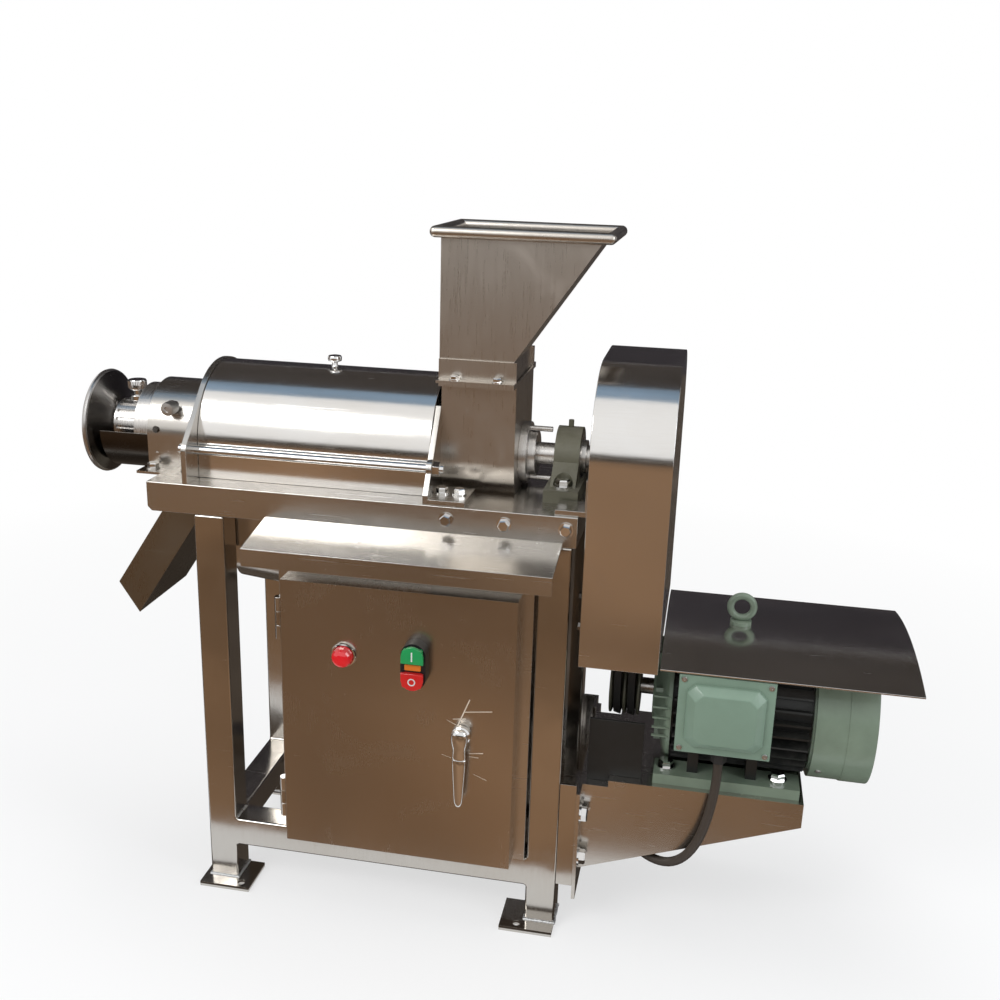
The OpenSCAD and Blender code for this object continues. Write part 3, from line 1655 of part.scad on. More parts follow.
// Fan cowl: a cup with air holes in its end
module fan_cowl() {
  l = motor_x1 - cowl_x0;
  color(motor_green)
  motor_axis(cowl_x0)
    difference() {
      rotate_extrude()
        polygon([[motor_r - bell_nose, 0], [cowl_r, 0], [cowl_r, l - bell_nose],
             [cowl_r - bell_nose, l], [0, l], [0, l - cowl_t],
             [cowl_r - bell_nose - cowl_t / 2, l - cowl_t],
             [cowl_r - cowl_t, l - bell_nose - cowl_t / 2],
             [cowl_r - cowl_t, frame_x1 + foot_h - cowl_x0 + gap],
             [motor_r - bell_nose, frame_x1 + foot_h - cowl_x0 + gap]]);
      for (k = [1:cowl_rings])
        for (i = [0:8 * k - 1])
          rotate([0, 0, i * 360 / (8 * k)])
            translate([k * cowl_r / (cowl_rings + 1), 0, l - 2 * cowl_t])
              cylinder(r = cowl_hole_r, h = 3 * cowl_t);
    }
}

// Radial cooling fan on the motor shaft
module cooling_fan() {
  color(rubber)
  motor_axis(fan_x0)
    difference() {
      union() {
        cylinder(r = 2 * motor_shaft_r, h = fan_w);
        cylinder(r = fan_r, h = cowl_t);
        for (i = [0:fan_blades - 1])
          rotate([0, 0, i * 360 / fan_blades])
            translate([motor_shaft_r + fin_t, -fin_t / 2, 0])
              cube([fan_r - motor_shaft_r - 2 * fin_t, fin_t, fan_w]);
      }
      bore(motor_shaft_r, fan_w);
    }
}

// Motor shaft with its rotor
module motor_shaft() {
  x0 = pulley_x - pulley_w / 2;
  color(bright) {
    motor_axis(0)
      rotate_extrude()
        polygon([[0, x0 - over], [motor_shaft_r - over, x0 - over],
             [motor_shaft_r, x0], [motor_shaft_r, rotor_x0],
             [rotor_r, rotor_x0], [rotor_r, rotor_x1], [motor_shaft_r, rotor_x1],
             [motor_shaft_r, fan_x0 + fan_w], [0, fan_x0 + fan_w]]);
  }
}

// Terminal box on the side of the motor, open in front
module terminal_box() {
  color(box_green)
  difference() {
    block([tbox_x0, tbox_split_y, tbox_z0], [tbox_x1, tbox_y1, tbox_z1]);
    block([tbox_x0 + tbox_wall, tbox_split_y - over, tbox_z0 + tbox_wall],
       [tbox_x1 - tbox_wall, tbox_y1 - tbox_wall, tbox_z1 - tbox_wall]);
    translate([cable_pts[0][0], cable_pts[0][1], tbox_z0]) bore(cable_r, tbox_wall);
  }
}

// Bevelled lid of the terminal box
module terminal_lid() {
  b = tbox_bevel;
  color(box_green)
  hull() {
    block([tbox_x0, tbox_split_y - over, tbox_z0], [tbox_x1, tbox_split_y, tbox_z1]);
    block([tbox_x0 + b, tbox_y0, tbox_z0 + b], [tbox_x1 - b, tbox_split_y, tbox_z1 - b]);
  }
}

// Glands where the motor cable enters the terminal box and the cabinet
module cable_glands() {
  first = cable_pts[0];
  last = cable_pts[len(cable_pts) - 1];
  color(rubber) {
    translate(first) cylinder(r = gland_r, h = tbox_z0 - first[2], $fn = 6);
    translate([cab_x1, last[1], last[2]]) rotate([0, 90, 0])
      cylinder(r = gland_r, h = last[0] - cab_x1, $fn = 6);
  }
}

// Motor cable swept along its points
module motor_cable() {
  color(rubber) sweep_tube(cable_pts, cable_r, cable_sides);
}

// Tube swept along points, with rings square to the path
module sweep_tube(p, r, sides) {
  n = len(p) - 1;
  dirs = [for (i = [0:n]) unit(i == 0 ? p[1] - p[0] : i == n ? p[n] - p[n - 1]
                           : p[i + 1] - p[i - 1])];
  ends = [for (i = [0:n]) i == 0 ? [0, 0, -1] : i == n ? [-1, 0, 0] : dirs[i]];
  points = [for (i = [0:n]) let (d = ends[i], u = unit(cross(d, [0.3, 1, 0.2])), v = cross(d, u))
    for (k = [0:sides - 1]) p[i] + r * (cos(k * 360 / sides) * u + sin(k * 360 / sides) * v)];
  walls = [for (i = [0:n - 1]) for (k = [0:sides - 1])
    let (a = i * sides + k, b = i * sides + (k + 1) % sides)
    each [[a, b, b + sides], [a, b + sides, a + sides]]];
  polyhedron(points, concat(walls, [[for (k = [0:sides - 1]) sides - 1 - k]],
    [[for (k = [0:sides - 1]) n * sides + k]]));
}
function unit(v) = v / norm(v);

// Lifting eye screwed into the motor through the hood
module eye_bolt() {
  z = hood_z + hood_rise;
  color(dark_steel)
  translate([eye_x, 0, 0]) {
    translate([0, 0, eye_root]) cylinder(r = eye_stem_r, h = z - eye_root + eye_wire);
    translate([0, 0, z]) cylinder(r = 2 * eye_stem_r, h = eye_wire);
    translate([0, 0, z + eye_wire + eye_r + eye_wire - over]) rotate([90, 0, 0])
      rotate_extrude() translate([eye_r, 0]) circle(r = eye_wire);
  }
}

// Radius of the hood's arch from its width and rise
function hood_radius(t) = (hood_hw * hood_hw + hood_rise * hood_rise) / (2 * hood_rise) - t;

// Hood: an arched sheet over the motor
module motor_hood() {
  r = hood_radius(0);
  a = asin(hood_hw / r);
  c = [0, hood_z + hood_rise - r];
  color(steel)
  difference() {
    upright(hood_x0, hood_x1 - hood_x0)
      polygon(concat(arc(c, r, 90 - a, 90 + a, 24), arc(c, r - hood_t, 90 + a, 90 - a, 24)));
    translate([eye_x, 0, hood_z]) bore(eye_stem_r, hood_rise);
  }
}

// Strap between the fan cowl and the hood
module hood_support() {
  z0 = motor_z + cowl_r;
  z1 = hood_z + hood_rise - hood_t;
  color("gray") {
    block([strap_x0, -strap_hw, z1 - strap_t], [strap_x1, strap_hw, z1 - strap_sag]);
    block([strap_x0, -strap_t, z0], [strap_x1, strap_t, z1 - strap_t]);
  }
}

// Hexagon bolts of the bed, the plates, the bearing, the bracket and the motor feet
module hex_bolts() {
  color(bright) {
    for (x = roof_bolt_x)
      translate([x, front_y, roof_bolt_z]) rotate([90, 0, 0]) hex_head(hex_r, hex_h);
    for (s = [-1, 1]) {
      for (x = support_bolt_x)
        translate([right_plate_x + x, s * support_bolt_y, bed_top + plate_t])
          hex_head(hex_r, hex_h);
      translate([bearing_x, s * bearing_bolt_dy / 2, bed_top + base_h])
        hex_head(big_hex_r, big_hex_h);
      for (x = [foot_bolt_x, foot_bolt_x + foot_bolt_dx])
        translate([x, s * foot_bolt_dy / 2, motor_foot_z + foot_h])
          hex_head(big_hex_r, big_hex_h);
      for (x = flange_bolt_x)
        translate([x, s * flange_bolt_y, feed_top_z + angle_t])
          hex_head(small_hex_r, small_hex_h);
      for (z = rail_bolt_z)
        translate([upright_x + bracket_sheet, s * rail_bolt_y, z]) rotate([0, 90, 0])
          hex_head(big_hex_r, big_hex_h);
      for (x = [house_x0 + hex_r * 2, left_plate_x - hex_r * 2])
        translate([x, s * (house_r + house_hw) / 2, bed_top + house_foot_t])
          hex_head(hex_r, hex_h);
    }
  }
  color(dark_steel)
  translate([stud_x, 0, stud_z]) rotate([90, 0, 0]) {
    translate([0, 0, stud_root]) cylinder(r = rod_r, h = stud_seat - stud_root);
    translate([0, 0, stud_seat]) cylinder(r = stud_r, h = stud_l);
  }
}

leg_frame();
foot_plates();
bed_tray();
cabinet_roof();
cabinet_box();
mounting_panel();
contactor();
door_hinges();
cabinet_door();
indicator_lamp();
button_body();
button_lamp();
start_button();
stop_button();
door_handle();
latch_cam();
left_end_plate();
right_support_plate();
tie_rods();
screen_drum();
cover_shell();
cover_knob();
juice_collector();
discharge_housing();
ring_flange();
ribbed_neck();
adjusting_spindle();
pressure_cone();
handwheel();
lock_screw();
drip_shield();
pomace_chute();
auger();
main_shaft();
feed_box();
hopper();
shaft_seal();
pillow_block();
bearing_insert();
guard_brackets();
belt_guard();
large_pulley();
small_pulley();
drive_belts();
pulley_plate();
motor_bracket();
bracket_rails();
motor_frame();
motor_end_bells();
fan_cowl();
cooling_fan();
motor_shaft();
terminal_box();
terminal_lid();
cable_glands();
motor_cable();
eye_bolt();
motor_hood();
hood_support();
hex_bolts();
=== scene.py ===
# %% [markdown]
# This lesson dresses a screw press for fruit in Blender. The CAD model already has every solid
# at its real size, so the script starts by loading it as a fixed frame and never moves it. The
# dressed model has to stay inside it.

# %% Load the frame
import json
import math
import bmesh
import bpy
from mathutils import Matrix, Vector

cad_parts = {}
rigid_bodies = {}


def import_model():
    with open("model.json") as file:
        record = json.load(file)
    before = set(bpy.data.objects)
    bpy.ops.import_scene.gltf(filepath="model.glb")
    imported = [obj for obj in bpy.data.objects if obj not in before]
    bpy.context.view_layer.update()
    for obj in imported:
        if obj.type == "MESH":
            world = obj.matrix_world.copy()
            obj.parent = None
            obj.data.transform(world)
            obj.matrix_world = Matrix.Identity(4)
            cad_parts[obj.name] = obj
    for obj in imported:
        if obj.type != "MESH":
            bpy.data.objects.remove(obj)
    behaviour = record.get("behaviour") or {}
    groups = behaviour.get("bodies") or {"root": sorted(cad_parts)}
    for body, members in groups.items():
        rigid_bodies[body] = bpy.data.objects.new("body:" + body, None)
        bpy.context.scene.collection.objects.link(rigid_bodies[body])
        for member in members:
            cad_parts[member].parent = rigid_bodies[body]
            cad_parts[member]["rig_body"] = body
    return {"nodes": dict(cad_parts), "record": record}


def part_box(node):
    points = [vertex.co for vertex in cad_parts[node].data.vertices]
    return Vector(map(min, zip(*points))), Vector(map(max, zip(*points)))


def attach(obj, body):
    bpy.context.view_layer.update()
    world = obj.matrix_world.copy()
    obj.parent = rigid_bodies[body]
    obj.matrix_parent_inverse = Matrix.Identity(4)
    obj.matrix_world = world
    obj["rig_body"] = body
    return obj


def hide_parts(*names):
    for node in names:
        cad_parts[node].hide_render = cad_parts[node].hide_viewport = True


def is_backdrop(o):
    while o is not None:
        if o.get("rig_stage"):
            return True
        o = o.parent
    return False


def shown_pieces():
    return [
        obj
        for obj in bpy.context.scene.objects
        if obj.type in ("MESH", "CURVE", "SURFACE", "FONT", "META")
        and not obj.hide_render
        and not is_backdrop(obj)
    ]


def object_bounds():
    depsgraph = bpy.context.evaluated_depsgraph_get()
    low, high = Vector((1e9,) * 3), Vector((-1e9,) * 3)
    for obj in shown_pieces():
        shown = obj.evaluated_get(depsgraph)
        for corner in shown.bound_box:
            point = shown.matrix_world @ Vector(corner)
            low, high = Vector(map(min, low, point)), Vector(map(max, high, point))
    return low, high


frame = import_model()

for name in ("Cube", "Light", "Camera"):
    spare = bpy.data.objects.get(name)
    if spare is not None:
        bpy.data.objects.remove(spare)

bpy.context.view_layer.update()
NODES = frame["nodes"]
SLOT_OF = {row["node"]: row["material_slot"] for row in frame["record"]["subparts"]}

# %% [markdown]
# The camera comes first, because everything after it is judged through it. Its place, its turn
# and its focal length were worked out from corners of the machine whose real sizes are known,
# such as the push buttons and the leg tubes. The photograph leans a little, so the camera rolls.

# %% Camera
CAMERA_PLACE = Vector((0.3412, -1.2515, 0.8742))
YAW, PITCH, ROLL = (math.radians(a) for a in (10.34, 17.19, 1.744))
FOCAL_SHARE = 1.153
SENSOR_MM = 36

forward = Vector((-math.sin(YAW) * math.cos(PITCH), math.cos(YAW) * math.cos(PITCH),
                  -math.sin(PITCH)))
level = Vector((math.cos(YAW), math.sin(YAW), 0))
rise = level.cross(forward)
side = math.cos(ROLL) * level + math.sin(ROLL) * rise
above = math.cos(ROLL) * rise - math.sin(ROLL) * level
camera_data = bpy.data.cameras.new("photo_camera")
camera_data.sensor_width = SENSOR_MM
camera_data.lens = SENSOR_MM * FOCAL_SHARE
camera_data.clip_end = 50
camera = bpy.data.objects.new("photo_camera", camera_data)
camera.matrix_world = Matrix((side, above, -forward)).transposed().to_4x4()
camera.location = CAMERA_PLACE
bpy.context.scene.collection.objects.link(camera)
bpy.context.scene.camera = camera
bpy.context.scene.view_settings.view_transform = "Standard"
print("lens", round(camera_data.lens, 2), "mm")

# %% [markdown]
# Small helpers keep the later cells short. Every node tree here, for materials and for geometry,
# is built by the same call: it makes a node, sets its options, and fills each input either with
# a value or with a link from another node.

# %% Helpers for node trees
def fill(node, values):
    """Fill inputs of a node: an output of another node is linked, anything else is the value."""
    for key, value in values.items():
        if isinstance(value, bpy.types.NodeSocket):
            node.id_data.links.new(value, node.inputs[key])
        else:
            node.inputs[key].default_value = value
    return node


def add(tree, kind, inputs=None, **options):
    made = tree.nodes.new(kind)
    for key, value in options.items():
        setattr(made, key, value)
    return fill(made, inputs or {})


def after(kind, inputs, **options):
    """Add a node after the nodes that its inputs come from, and give its outputs."""
    tree = next(v.id_data for v in inputs.values() if isinstance(v, bpy.types.NodeSocket))
    return add(tree, kind, inputs, **options).outputs


def maths(operation):
    def node(a, b, clamp=False):
        return after("ShaderNodeMath", {0: a, 1: b}, operation=operation, use_clamp=clamp)[0]
    return node


plus, minus, times, most = map(maths, ("ADD", "SUBTRACT", "MULTIPLY", "MAXIMUM"))


def vectors(operation, a, b=(0, 0, 0), out="Vector"):
    return after("ShaderNodeVectorMath", {0: a, 1: b}, operation=operation)[out]


def spread(value, low, high, to_low=0.0, to_high=1.0):
    """Stretch the range from low to high onto the range from to_low to to_high."""
    return after("ShaderNodeMapRange", {"Value": value, "From Min": low, "From Max": high,
                                        "To Min": to_low, "To Max": to_high})["Result"]


def noise(vector, scale, **more):
    return after("ShaderNodeTexNoise", {"Vector": vector, "Scale": scale, **more})["Fac"]


def bump(height, strength, distance, **more):
    return after("ShaderNodeBump", {"Height": height, "Strength": strength, "Distance": distance,
                                    **more})[0]


def tint(factor, a, b):
    """Colour a where the factor is 0 and colour b where it is 1."""
    a, b = (c if isinstance(c, bpy.types.NodeSocket) else (*c, 1) for c in (a, b))
    return after("ShaderNodeMix", {"Factor": factor, 6: a, 7: b}, data_type="RGBA")[2]


def object_place(tree):
    return add(tree, "ShaderNodeTexCoord").outputs["Object"]


def new_material(name):
    """A material, its tree and its Principled shader."""
    material = bpy.data.materials.new(name)
    material.use_nodes = True
    return material, material.node_tree, material.node_tree.nodes["Principled BSDF"]


print("node helpers ready")

# %% [markdown]
# Meshes need helpers too. Each shape is built in a bmesh, turned into a mesh and shaded smooth,
# with sharp edges where it folds. Every visible piece then rides on one body of the machine,
# gets the finish of its material slot, another one or its own, and hides the CAD nodes it stands
# for.

# %% Helpers for meshes
HANDLED = {"motor_cable"}


def show(name, data):
    obj = bpy.data.objects.new(name, data)
    bpy.context.scene.collection.objects.link(obj)
    return obj


def smooth(mesh, sharp=None):
    """Shade a mesh smooth; edges that fold by more than sharp degrees stay sharp."""
    for polygon in mesh.polygons:
        polygon.use_smooth = True
    if sharp is not None:
        mesh.set_sharp_from_angle(angle=math.radians(sharp))
    return mesh


def to_mesh(bm, name):
    mesh = bpy.data.meshes.new(name)
    bm.to_mesh(mesh)
    bm.free()
    return mesh


def joined(name, meshes):
    bm = bmesh.new()
    for mesh in meshes:
        bm.from_mesh(mesh)
        bpy.data.meshes.remove(mesh)
    return smooth(to_mesh(bm, name), 32)


def skin(bm, outlines):
    """Faces from each closed outline of points to the next, and one across each end."""
    loops = [[bm.verts.new(point) for point in outline] for outline in outlines]
    for one, two in zip(loops, loops[1:]):
        for k in range(len(one)):
            n = (k + 1) % len(one)
            bm.faces.new((one[k], one[n], two[n], two[k]))
    bm.faces.new(loops[0])
    bm.faces.new(loops[-1])
    bmesh.ops.recalc_face_normals(bm, faces=bm.faces)


def round_edges(bm, edges, radius, segments, clamp=False):
    bmesh.ops.bevel(bm, geom=list(edges), offset=radius, segments=segments, profile=0.5,
                    affect="EDGES", clamp_overlap=clamp)


def turn_to(direction):
    """The matrix that turns Z to a direction."""
    return Vector(direction).to_track_quat("Z", "Y").to_matrix().to_4x4()


def put(name, mesh, body, slot, replaces=(), finish=None):
    """Show a mesh, or a list of meshes as one, in its slot's finish, another one, or its own."""
    if isinstance(mesh, list):
        mesh = joined(name, mesh)
    obj = show(name, mesh)
    if not mesh.materials:
        mesh.materials.clear()  # this also sets every face back to the first material
        mesh.materials.append(MATERIALS[finish or slot])
    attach(obj, body)
    if replaces:
        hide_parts(*replaces)
    HANDLED.update(replaces)
    return obj


def dress(name, mesh, node, finish=None):
    """Show a piece that stands for one CAD node, on the node's body and with the node's slot."""
    return put(name, mesh, NODES[node]["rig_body"], SLOT_OF[node], [node], finish)


print("mesh helpers ready")

# %% [markdown]
# The motor cable is the one free cord on this machine. It leaves the underside of the terminal
# box, hangs down in front of the bracket, passes below it, and goes into the cabinet's side. A
# curve with a round bevel is the simplest true model of it. Its points are those of the CAD
# tube, in millimetres, with smooth points worked out between them.

# %% Motor cable
CABLE_RADIUS = 0.0053
CABLE_POINTS = [Vector(p) / 1000 for p in (
    (383, -100, 234), (383, -101, 215), (381, -103, 190), (376, -104, 160), (368, -103, 132),
    (355, -99, 108), (338, -91, 93), (318, -79, 88), (296, -66, 93), (272, -56, 103),
    (252, -51, 109), (231, -50, 110), (210, -50, 110), (194, -50, 110))]


def smooth_points(points, steps=4):
    """A Catmull-Rom curve through the points."""
    padded = [2 * points[0] - points[1], *points, 2 * points[-1] - points[-2]]
    out = []
    for i in range(1, len(padded) - 2):
        a, b, c, d = padded[i - 1:i + 3]
        for k in range(steps):
            t = k / steps
            out.append(0.5 * (2 * b + (c - a) * t + (2 * a - 5 * b + 4 * c - d) * t ** 2
                              + (3 * b - a - 3 * c + d) * t ** 3))
    return [*out, points[-1]]


route = smooth_points(CABLE_POINTS)
cable_curve = bpy.data.curves.new("motor_lead", "CURVE")
cable_curve.dimensions = "3D"
cable_curve.bevel_depth = 1.0
cable_curve.bevel_resolution = 5
cable_curve.use_fill_caps = True
spline = cable_curve.splines.new("POLY")
spline.points.add(len(route) - 1)
for place, point in zip(spline.points, route):
    place.co = (*point, 1)
    place.radius = CABLE_RADIUS
motor_lead = show("motor_lead", cable_curve)
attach(motor_lead, "stand")
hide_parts("motor_cable")

# %% [markdown]
# A plain studio: a pale floor that takes the machine's shadow, a white background for what the
# camera and the mirrors see, and large soft lamps. Polished steel has no colour of its own and
# shows what stands round it, so the studio also has a few cards. They are seen only in
# reflections: a warm brown floor in front, a dark wall and a pale sky, as in a yard.

# %% Studio
def seen_rays(tree):
    """1 for the rays of the camera and of mirrors, 0 for the rays that carry soft light."""
    path = add(tree, "ShaderNodeLightPath").outputs
    seen = most(path["Is Camera Ray"], path["Is Transmission Ray"])
    return most(seen, path["Is Glossy Ray"])


world = bpy.data.worlds.new("studio")
bpy.context.scene.world = world
world.use_nodes = True
tree = world.node_tree
tree.nodes.clear()
white = add(tree, "ShaderNodeBackground", {"Color": (1, 1, 1, 1), "Strength": 1.0})
soft = add(tree, "ShaderNodeBackground", {"Color": (0.95, 0.97, 1.0, 1), "Strength": 0.55})
both = after("ShaderNodeMixShader", {0: seen_rays(tree), 1: soft.outputs[0], 2: white.outputs[0]})
after("ShaderNodeOutputWorld", {"Surface": both[0]})


def lamp(name, place, aim, size, power, colour=(1, 1, 1)):
    data = bpy.data.lights.new(name, "AREA")
    data.shape = "RECTANGLE"
    data.size, data.size_y = size
    data.energy = power
    data.color = colour
    obj = show(name, data)
    obj.location = place
    obj.rotation_euler = (Vector(aim) - Vector(place)).to_track_quat("-Z", "Y").to_euler()
    return obj


lamp("key_lamp", (-1.3, -1.9, 2.2), (0, 0, 0.4), (1.4, 1.0), 34)
lamp("top_lamp", (0.3, 0.2, 2.6), (0.1, 0, 0.4), (2.2, 0.7), 22).visible_glossy = False
lamp("side_lamp", (2.4, -0.9, 1.4), (0.2, 0, 0.4), (0.8, 1.6), 14, (0.9, 0.95, 1))


def flat_panel(name, centre, size, aim):
    bm = bmesh.new()
    bmesh.ops.create_grid(bm, x_segments=1, y_segments=1, size=0.5)
    obj = show(name, to_mesh(bm, name))
    obj.data.transform(Matrix.Translation(centre) @ turn_to(Vector(aim) - Vector(centre))
                       @ Matrix.Diagonal((*size, 1, 1)))
    obj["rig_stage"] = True
    return obj


def glow(name, colour, patches):
    """A flat light of one colour; patches makes it uneven, like a real yard or wall."""
    material, tree, _ = new_material(name)
    tree.nodes.clear()
    spots = noise(object_place(tree), 1.5, Detail=3.0, Distortion=0.8)
    strength = spread(spots, 0.3, 0.7, 1 - patches, 1 + patches)
    shine = after("ShaderNodeEmission", {"Color": (*colour, 1), "Strength": strength})
    after("ShaderNodeOutputMaterial", {"Surface": shine[0]})
    return material


CARDS = {
    "yard_card": ((0.1, -2.62, 0.004), (8.0, 4.8), (0.1, -2.62, 2), (0.25, 0.152, 0.088)),
    "hedge_card": ((0.2, -4.8, 0.35), (7.0, 0.9), (0.2, 0, 0.35), (0.05, 0.04, 0.03)),
    "left_card": ((-3.2, 0.2, 0.5), (2.2, 3.0), (0, 0, 0.5), (0.12, 0.08, 0.05)),
    "right_card": ((3.4, 0.2, 0.9), (2.4, 3.4), (0, 0, 0.9), (0.035, 0.035, 0.04)),
    "back_card": ((0.2, 3.4, 1.2), (7.5, 2.7), (0.2, 0, 1.2), (0.040, 0.036, 0.040)),
    "far_card": ((0.2, 1.85, 3.45), (7.5, 3.6), (0.2, 0.15, 0.3), (0.060, 0.052, 0.047)),
    "back_yard_card": ((0.3, 1.93, 0.003), (8.0, 4.15), (0.3, 1.93, 2), (0.085, 0.068, 0.055)),
    "sky_card": ((0.0, -0.36, 4.2), (7.0, 1.22), (0, -0.3, 0.4), (0.24, 0.34, 0.46)),
}
for name, (centre, size, aim, colour) in CARDS.items():
    card = flat_panel(name, centre, size, aim)
    uneven = 0.6 if "yard" in name or "hedge" in name else 0.25
    card.data.materials.append(glow(name, colour, uneven))
    for ray in ("camera", "diffuse", "shadow", "transmission", "volume_scatter"):
        setattr(card, "visible_" + ray, False)

floor = flat_panel("floor", (0, 0, -0.0005), (30, 30), (0, 0, 2))
floor_paint, tree, shade = new_material("studio_floor")
speck = add(tree, "ShaderNodeTexNoise", {"Scale": 9.0, "Detail": 3.0}).outputs["Fac"]
fill(shade, {"Base Color": spread(speck, 0, 1, 0.86, 0.9), "Roughness": 0.7,
             "Specular IOR Level": 0.2})
seen = seen_rays(tree)
pale = add(tree, "ShaderNodeEmission", {"Color": (1, 1, 1, 1), "Strength": 1.0})
distance = vectors("LENGTH", object_place(tree), out="Value")
fade = spread(distance, 0.55, 1.7, 0.62, 1.0)
mixed = after("ShaderNodeMixShader",
              {0: times(seen, fade), 1: shade.outputs[0], 2: pale.outputs[0]})
fill(tree.nodes["Material Output"], {"Surface": mixed[0]})
floor.data.materials.append(floor_paint)
print("studio", len(CARDS), "cards")

# %% [markdown]
# Several finishes share the same effects: a brushed grain, hairline scratches, the smears that
# hands and cloths leave, and the dust that settles on top. Each is a shader node group with
# named inputs, built once. A group gives out only masks, so that the shader itself stays in
# each material. All patterns read Object coordinates, which are the machine's own metres.

# %% Groups for grain, scratches, smears and dust
SOCKET_OF = {float: "NodeSocketFloat", int: "NodeSocketInt", tuple: "NodeSocketVector"}


def new_group(name, inputs, outputs, kind="ShaderNodeTree", out_kind="NodeSocketFloat"):
    """A tree, its inputs and its end. An input has a value, or the name of its kind of socket."""
    tree = bpy.data.node_groups.new(name, kind)
    for label, value in inputs.items():
        socket = SOCKET_OF.get(type(value), value)
        made = tree.interface.new_socket(label, in_out="INPUT", socket_type=socket)
        if socket != value:
            made.default_value = value
    for label in outputs:
        tree.interface.new_socket(label, in_out="OUTPUT", socket_type=out_kind)
    return tree, tree.nodes.new("NodeGroupInput").outputs, tree.nodes.new("NodeGroupOutput")


def mask_group(name, outputs, **inputs):
    return new_group(name, {"Place": SOCKET_OF[tuple], **inputs}, outputs)


def peaks(value, level, more, share, gain):
    """0 under a level and 1 well above it; more of an input, times its share, lowers the level."""
    level = minus(level, times(more, share))
    return times(minus(value, level), gain, True)


def brushed_grain():
    tree, given, out = mask_group("brushed_grain", ["Grain", "Blotches"],
                                  Stretch=(60, 900, 900), Blotch=6.0)
    drawn = vectors("MULTIPLY", given["Place"], given["Stretch"])
    fine = noise(drawn, 1.0, Detail=4.0, Roughness=0.65)
    wide = noise(given["Place"], given["Blotch"], Detail=3.0, Distortion=0.6)
    fill(out, {"Grain": spread(fine, 0.3, 0.7), "Blotches": spread(wide, 0.35, 0.65)})
    return tree


def hairline_scratches():
    tree, given, out = mask_group("hairline_scratches", ["Scratches"], Density=0.5)
    total = None
    for turn, size in (((0.3, 0.9, 0.4), 9), ((1.4, 0.2, 1.1), 13), ((0.8, 1.9, 2.3), 17)):
        drawn = after("ShaderNodeMapping", {"Vector": given["Place"], "Rotation": turn,
                                            "Scale": (size, 45 * size, 45 * size)})
        lines = noise(drawn[0], 1.0, Detail=1.0, Roughness=0.3)
        mask = peaks(lines, 0.80, given["Density"], 0.1, 25)
        total = mask if total is None else most(total, mask)
    fill(out, {"Scratches": total})
    return tree


def hand_smears():
    tree, given, out = mask_group("hand_smears", ["Smears"], Size=7.0, Cover=0.5)
    swirl = noise(given["Place"], given["Size"], Detail=5.0, Roughness=0.55, Distortion=2.2)
    fill(out, {"Smears": peaks(swirl, 0.75, given["Cover"], 0.4, 3.0)})
    return tree


def settled_dust():
    tree, given, out = mask_group("settled_dust", ["Dust"], Amount=0.5)
    normal = add(tree, "ShaderNodeNewGeometry").outputs["Normal"]
    up = add(tree, "ShaderNodeSeparateXYZ", {0: normal}).outputs["Z"]
    clump = noise(given["Place"], 38.0, Detail=6.0, Roughness=0.7)
    lying = times(spread(up, 0.35, 1.0), spread(clump, 0.35, 0.75))
    fill(out, {"Dust": times(lying, given["Amount"], True)})
    return tree


def edge_chips():
    tree, given, out = mask_group("edge_chips", ["Chips"], Amount=0.3)
    cells = noise(given["Place"], 160.0, Detail=4.0, Roughness=0.7)
    zone = noise(given["Place"], 14.0)
    fill(out, {"Chips": peaks(times(cells, zone), 0.47, given["Amount"], 0.12, 22)})
    return tree


GROUPS = {made.name: made for made in (brushed_grain(), hairline_scratches(), hand_smears(),
                                       settled_dust(), edge_chips())}
print("groups", sorted(GROUPS))


def use(tree, name, **values):
    return add(tree, "ShaderNodeGroup", values, node_tree=GROUPS[name]).outputs


# %% [markdown]
# Stainless steel is the finish that carries this machine. Bare metal wants a Metallic of 1, a
# grey base colour that hardly changes, and all its life in the roughness and in very shallow
# bumps: the brushing, the waves that a folded sheet keeps, scratches and smears. One function
# makes each kind of steel from those numbers, and the constants go straight on the shader.

# %% Steel finishes
WARM = (0.80, 0.72, 0.62)
STEEL_DUST = (0.42, 0.39, 0.35)
MATERIALS = {}


def steel(name, colour, rough, grain=0.0, stretch=(60, 900, 900), wave=0.0, wave_size=5.0,
          smear=0.5, scratch=0.4, dust=0.1):
    material, tree, shade = new_material(name)
    place = object_place(tree)
    brushed = use(tree, "brushed_grain", Place=place, Stretch=stretch)
    marks = use(tree, "hairline_scratches", Place=place, Density=scratch)["Scratches"]
    smears = use(tree, "hand_smears", Place=place, Cover=smear)["Smears"]
    powder = use(tree, "settled_dust", Place=place, Amount=dust)["Dust"]
    dull = tuple(c * w for c, w in zip(colour, WARM))
    base = tint(spread(brushed["Blotches"], 0, 1, 0, 0.25), colour, dull)
    base = tint(times(smears, 0.12), base, tuple(0.8 * c for c in colour))
    base = tint(times(brushed["Grain"], 0.10 * bool(grain)), base, dull)
    base = tint(times(powder, 0.6), base, STEEL_DUST)
    value = plus(rough, times(smears, 0.10))
    value = plus(value, times(brushed["Grain"], 0.25 * grain))
    value = plus(value, times(marks, 0.12))
    value = plus(value, times(powder, 0.35), True)
    height = minus(times(brushed["Grain"], grain), times(marks, 0.5))
    normal = bump(height, 0.12, 0.0002)
    if wave:
        normal = bump(noise(place, wave_size, Detail=1.5), wave, 0.01, Normal=normal)
    fill(shade, {"Metallic": 1.0, "Base Color": base, "Roughness": value, "Normal": normal})
    MATERIALS[name] = material


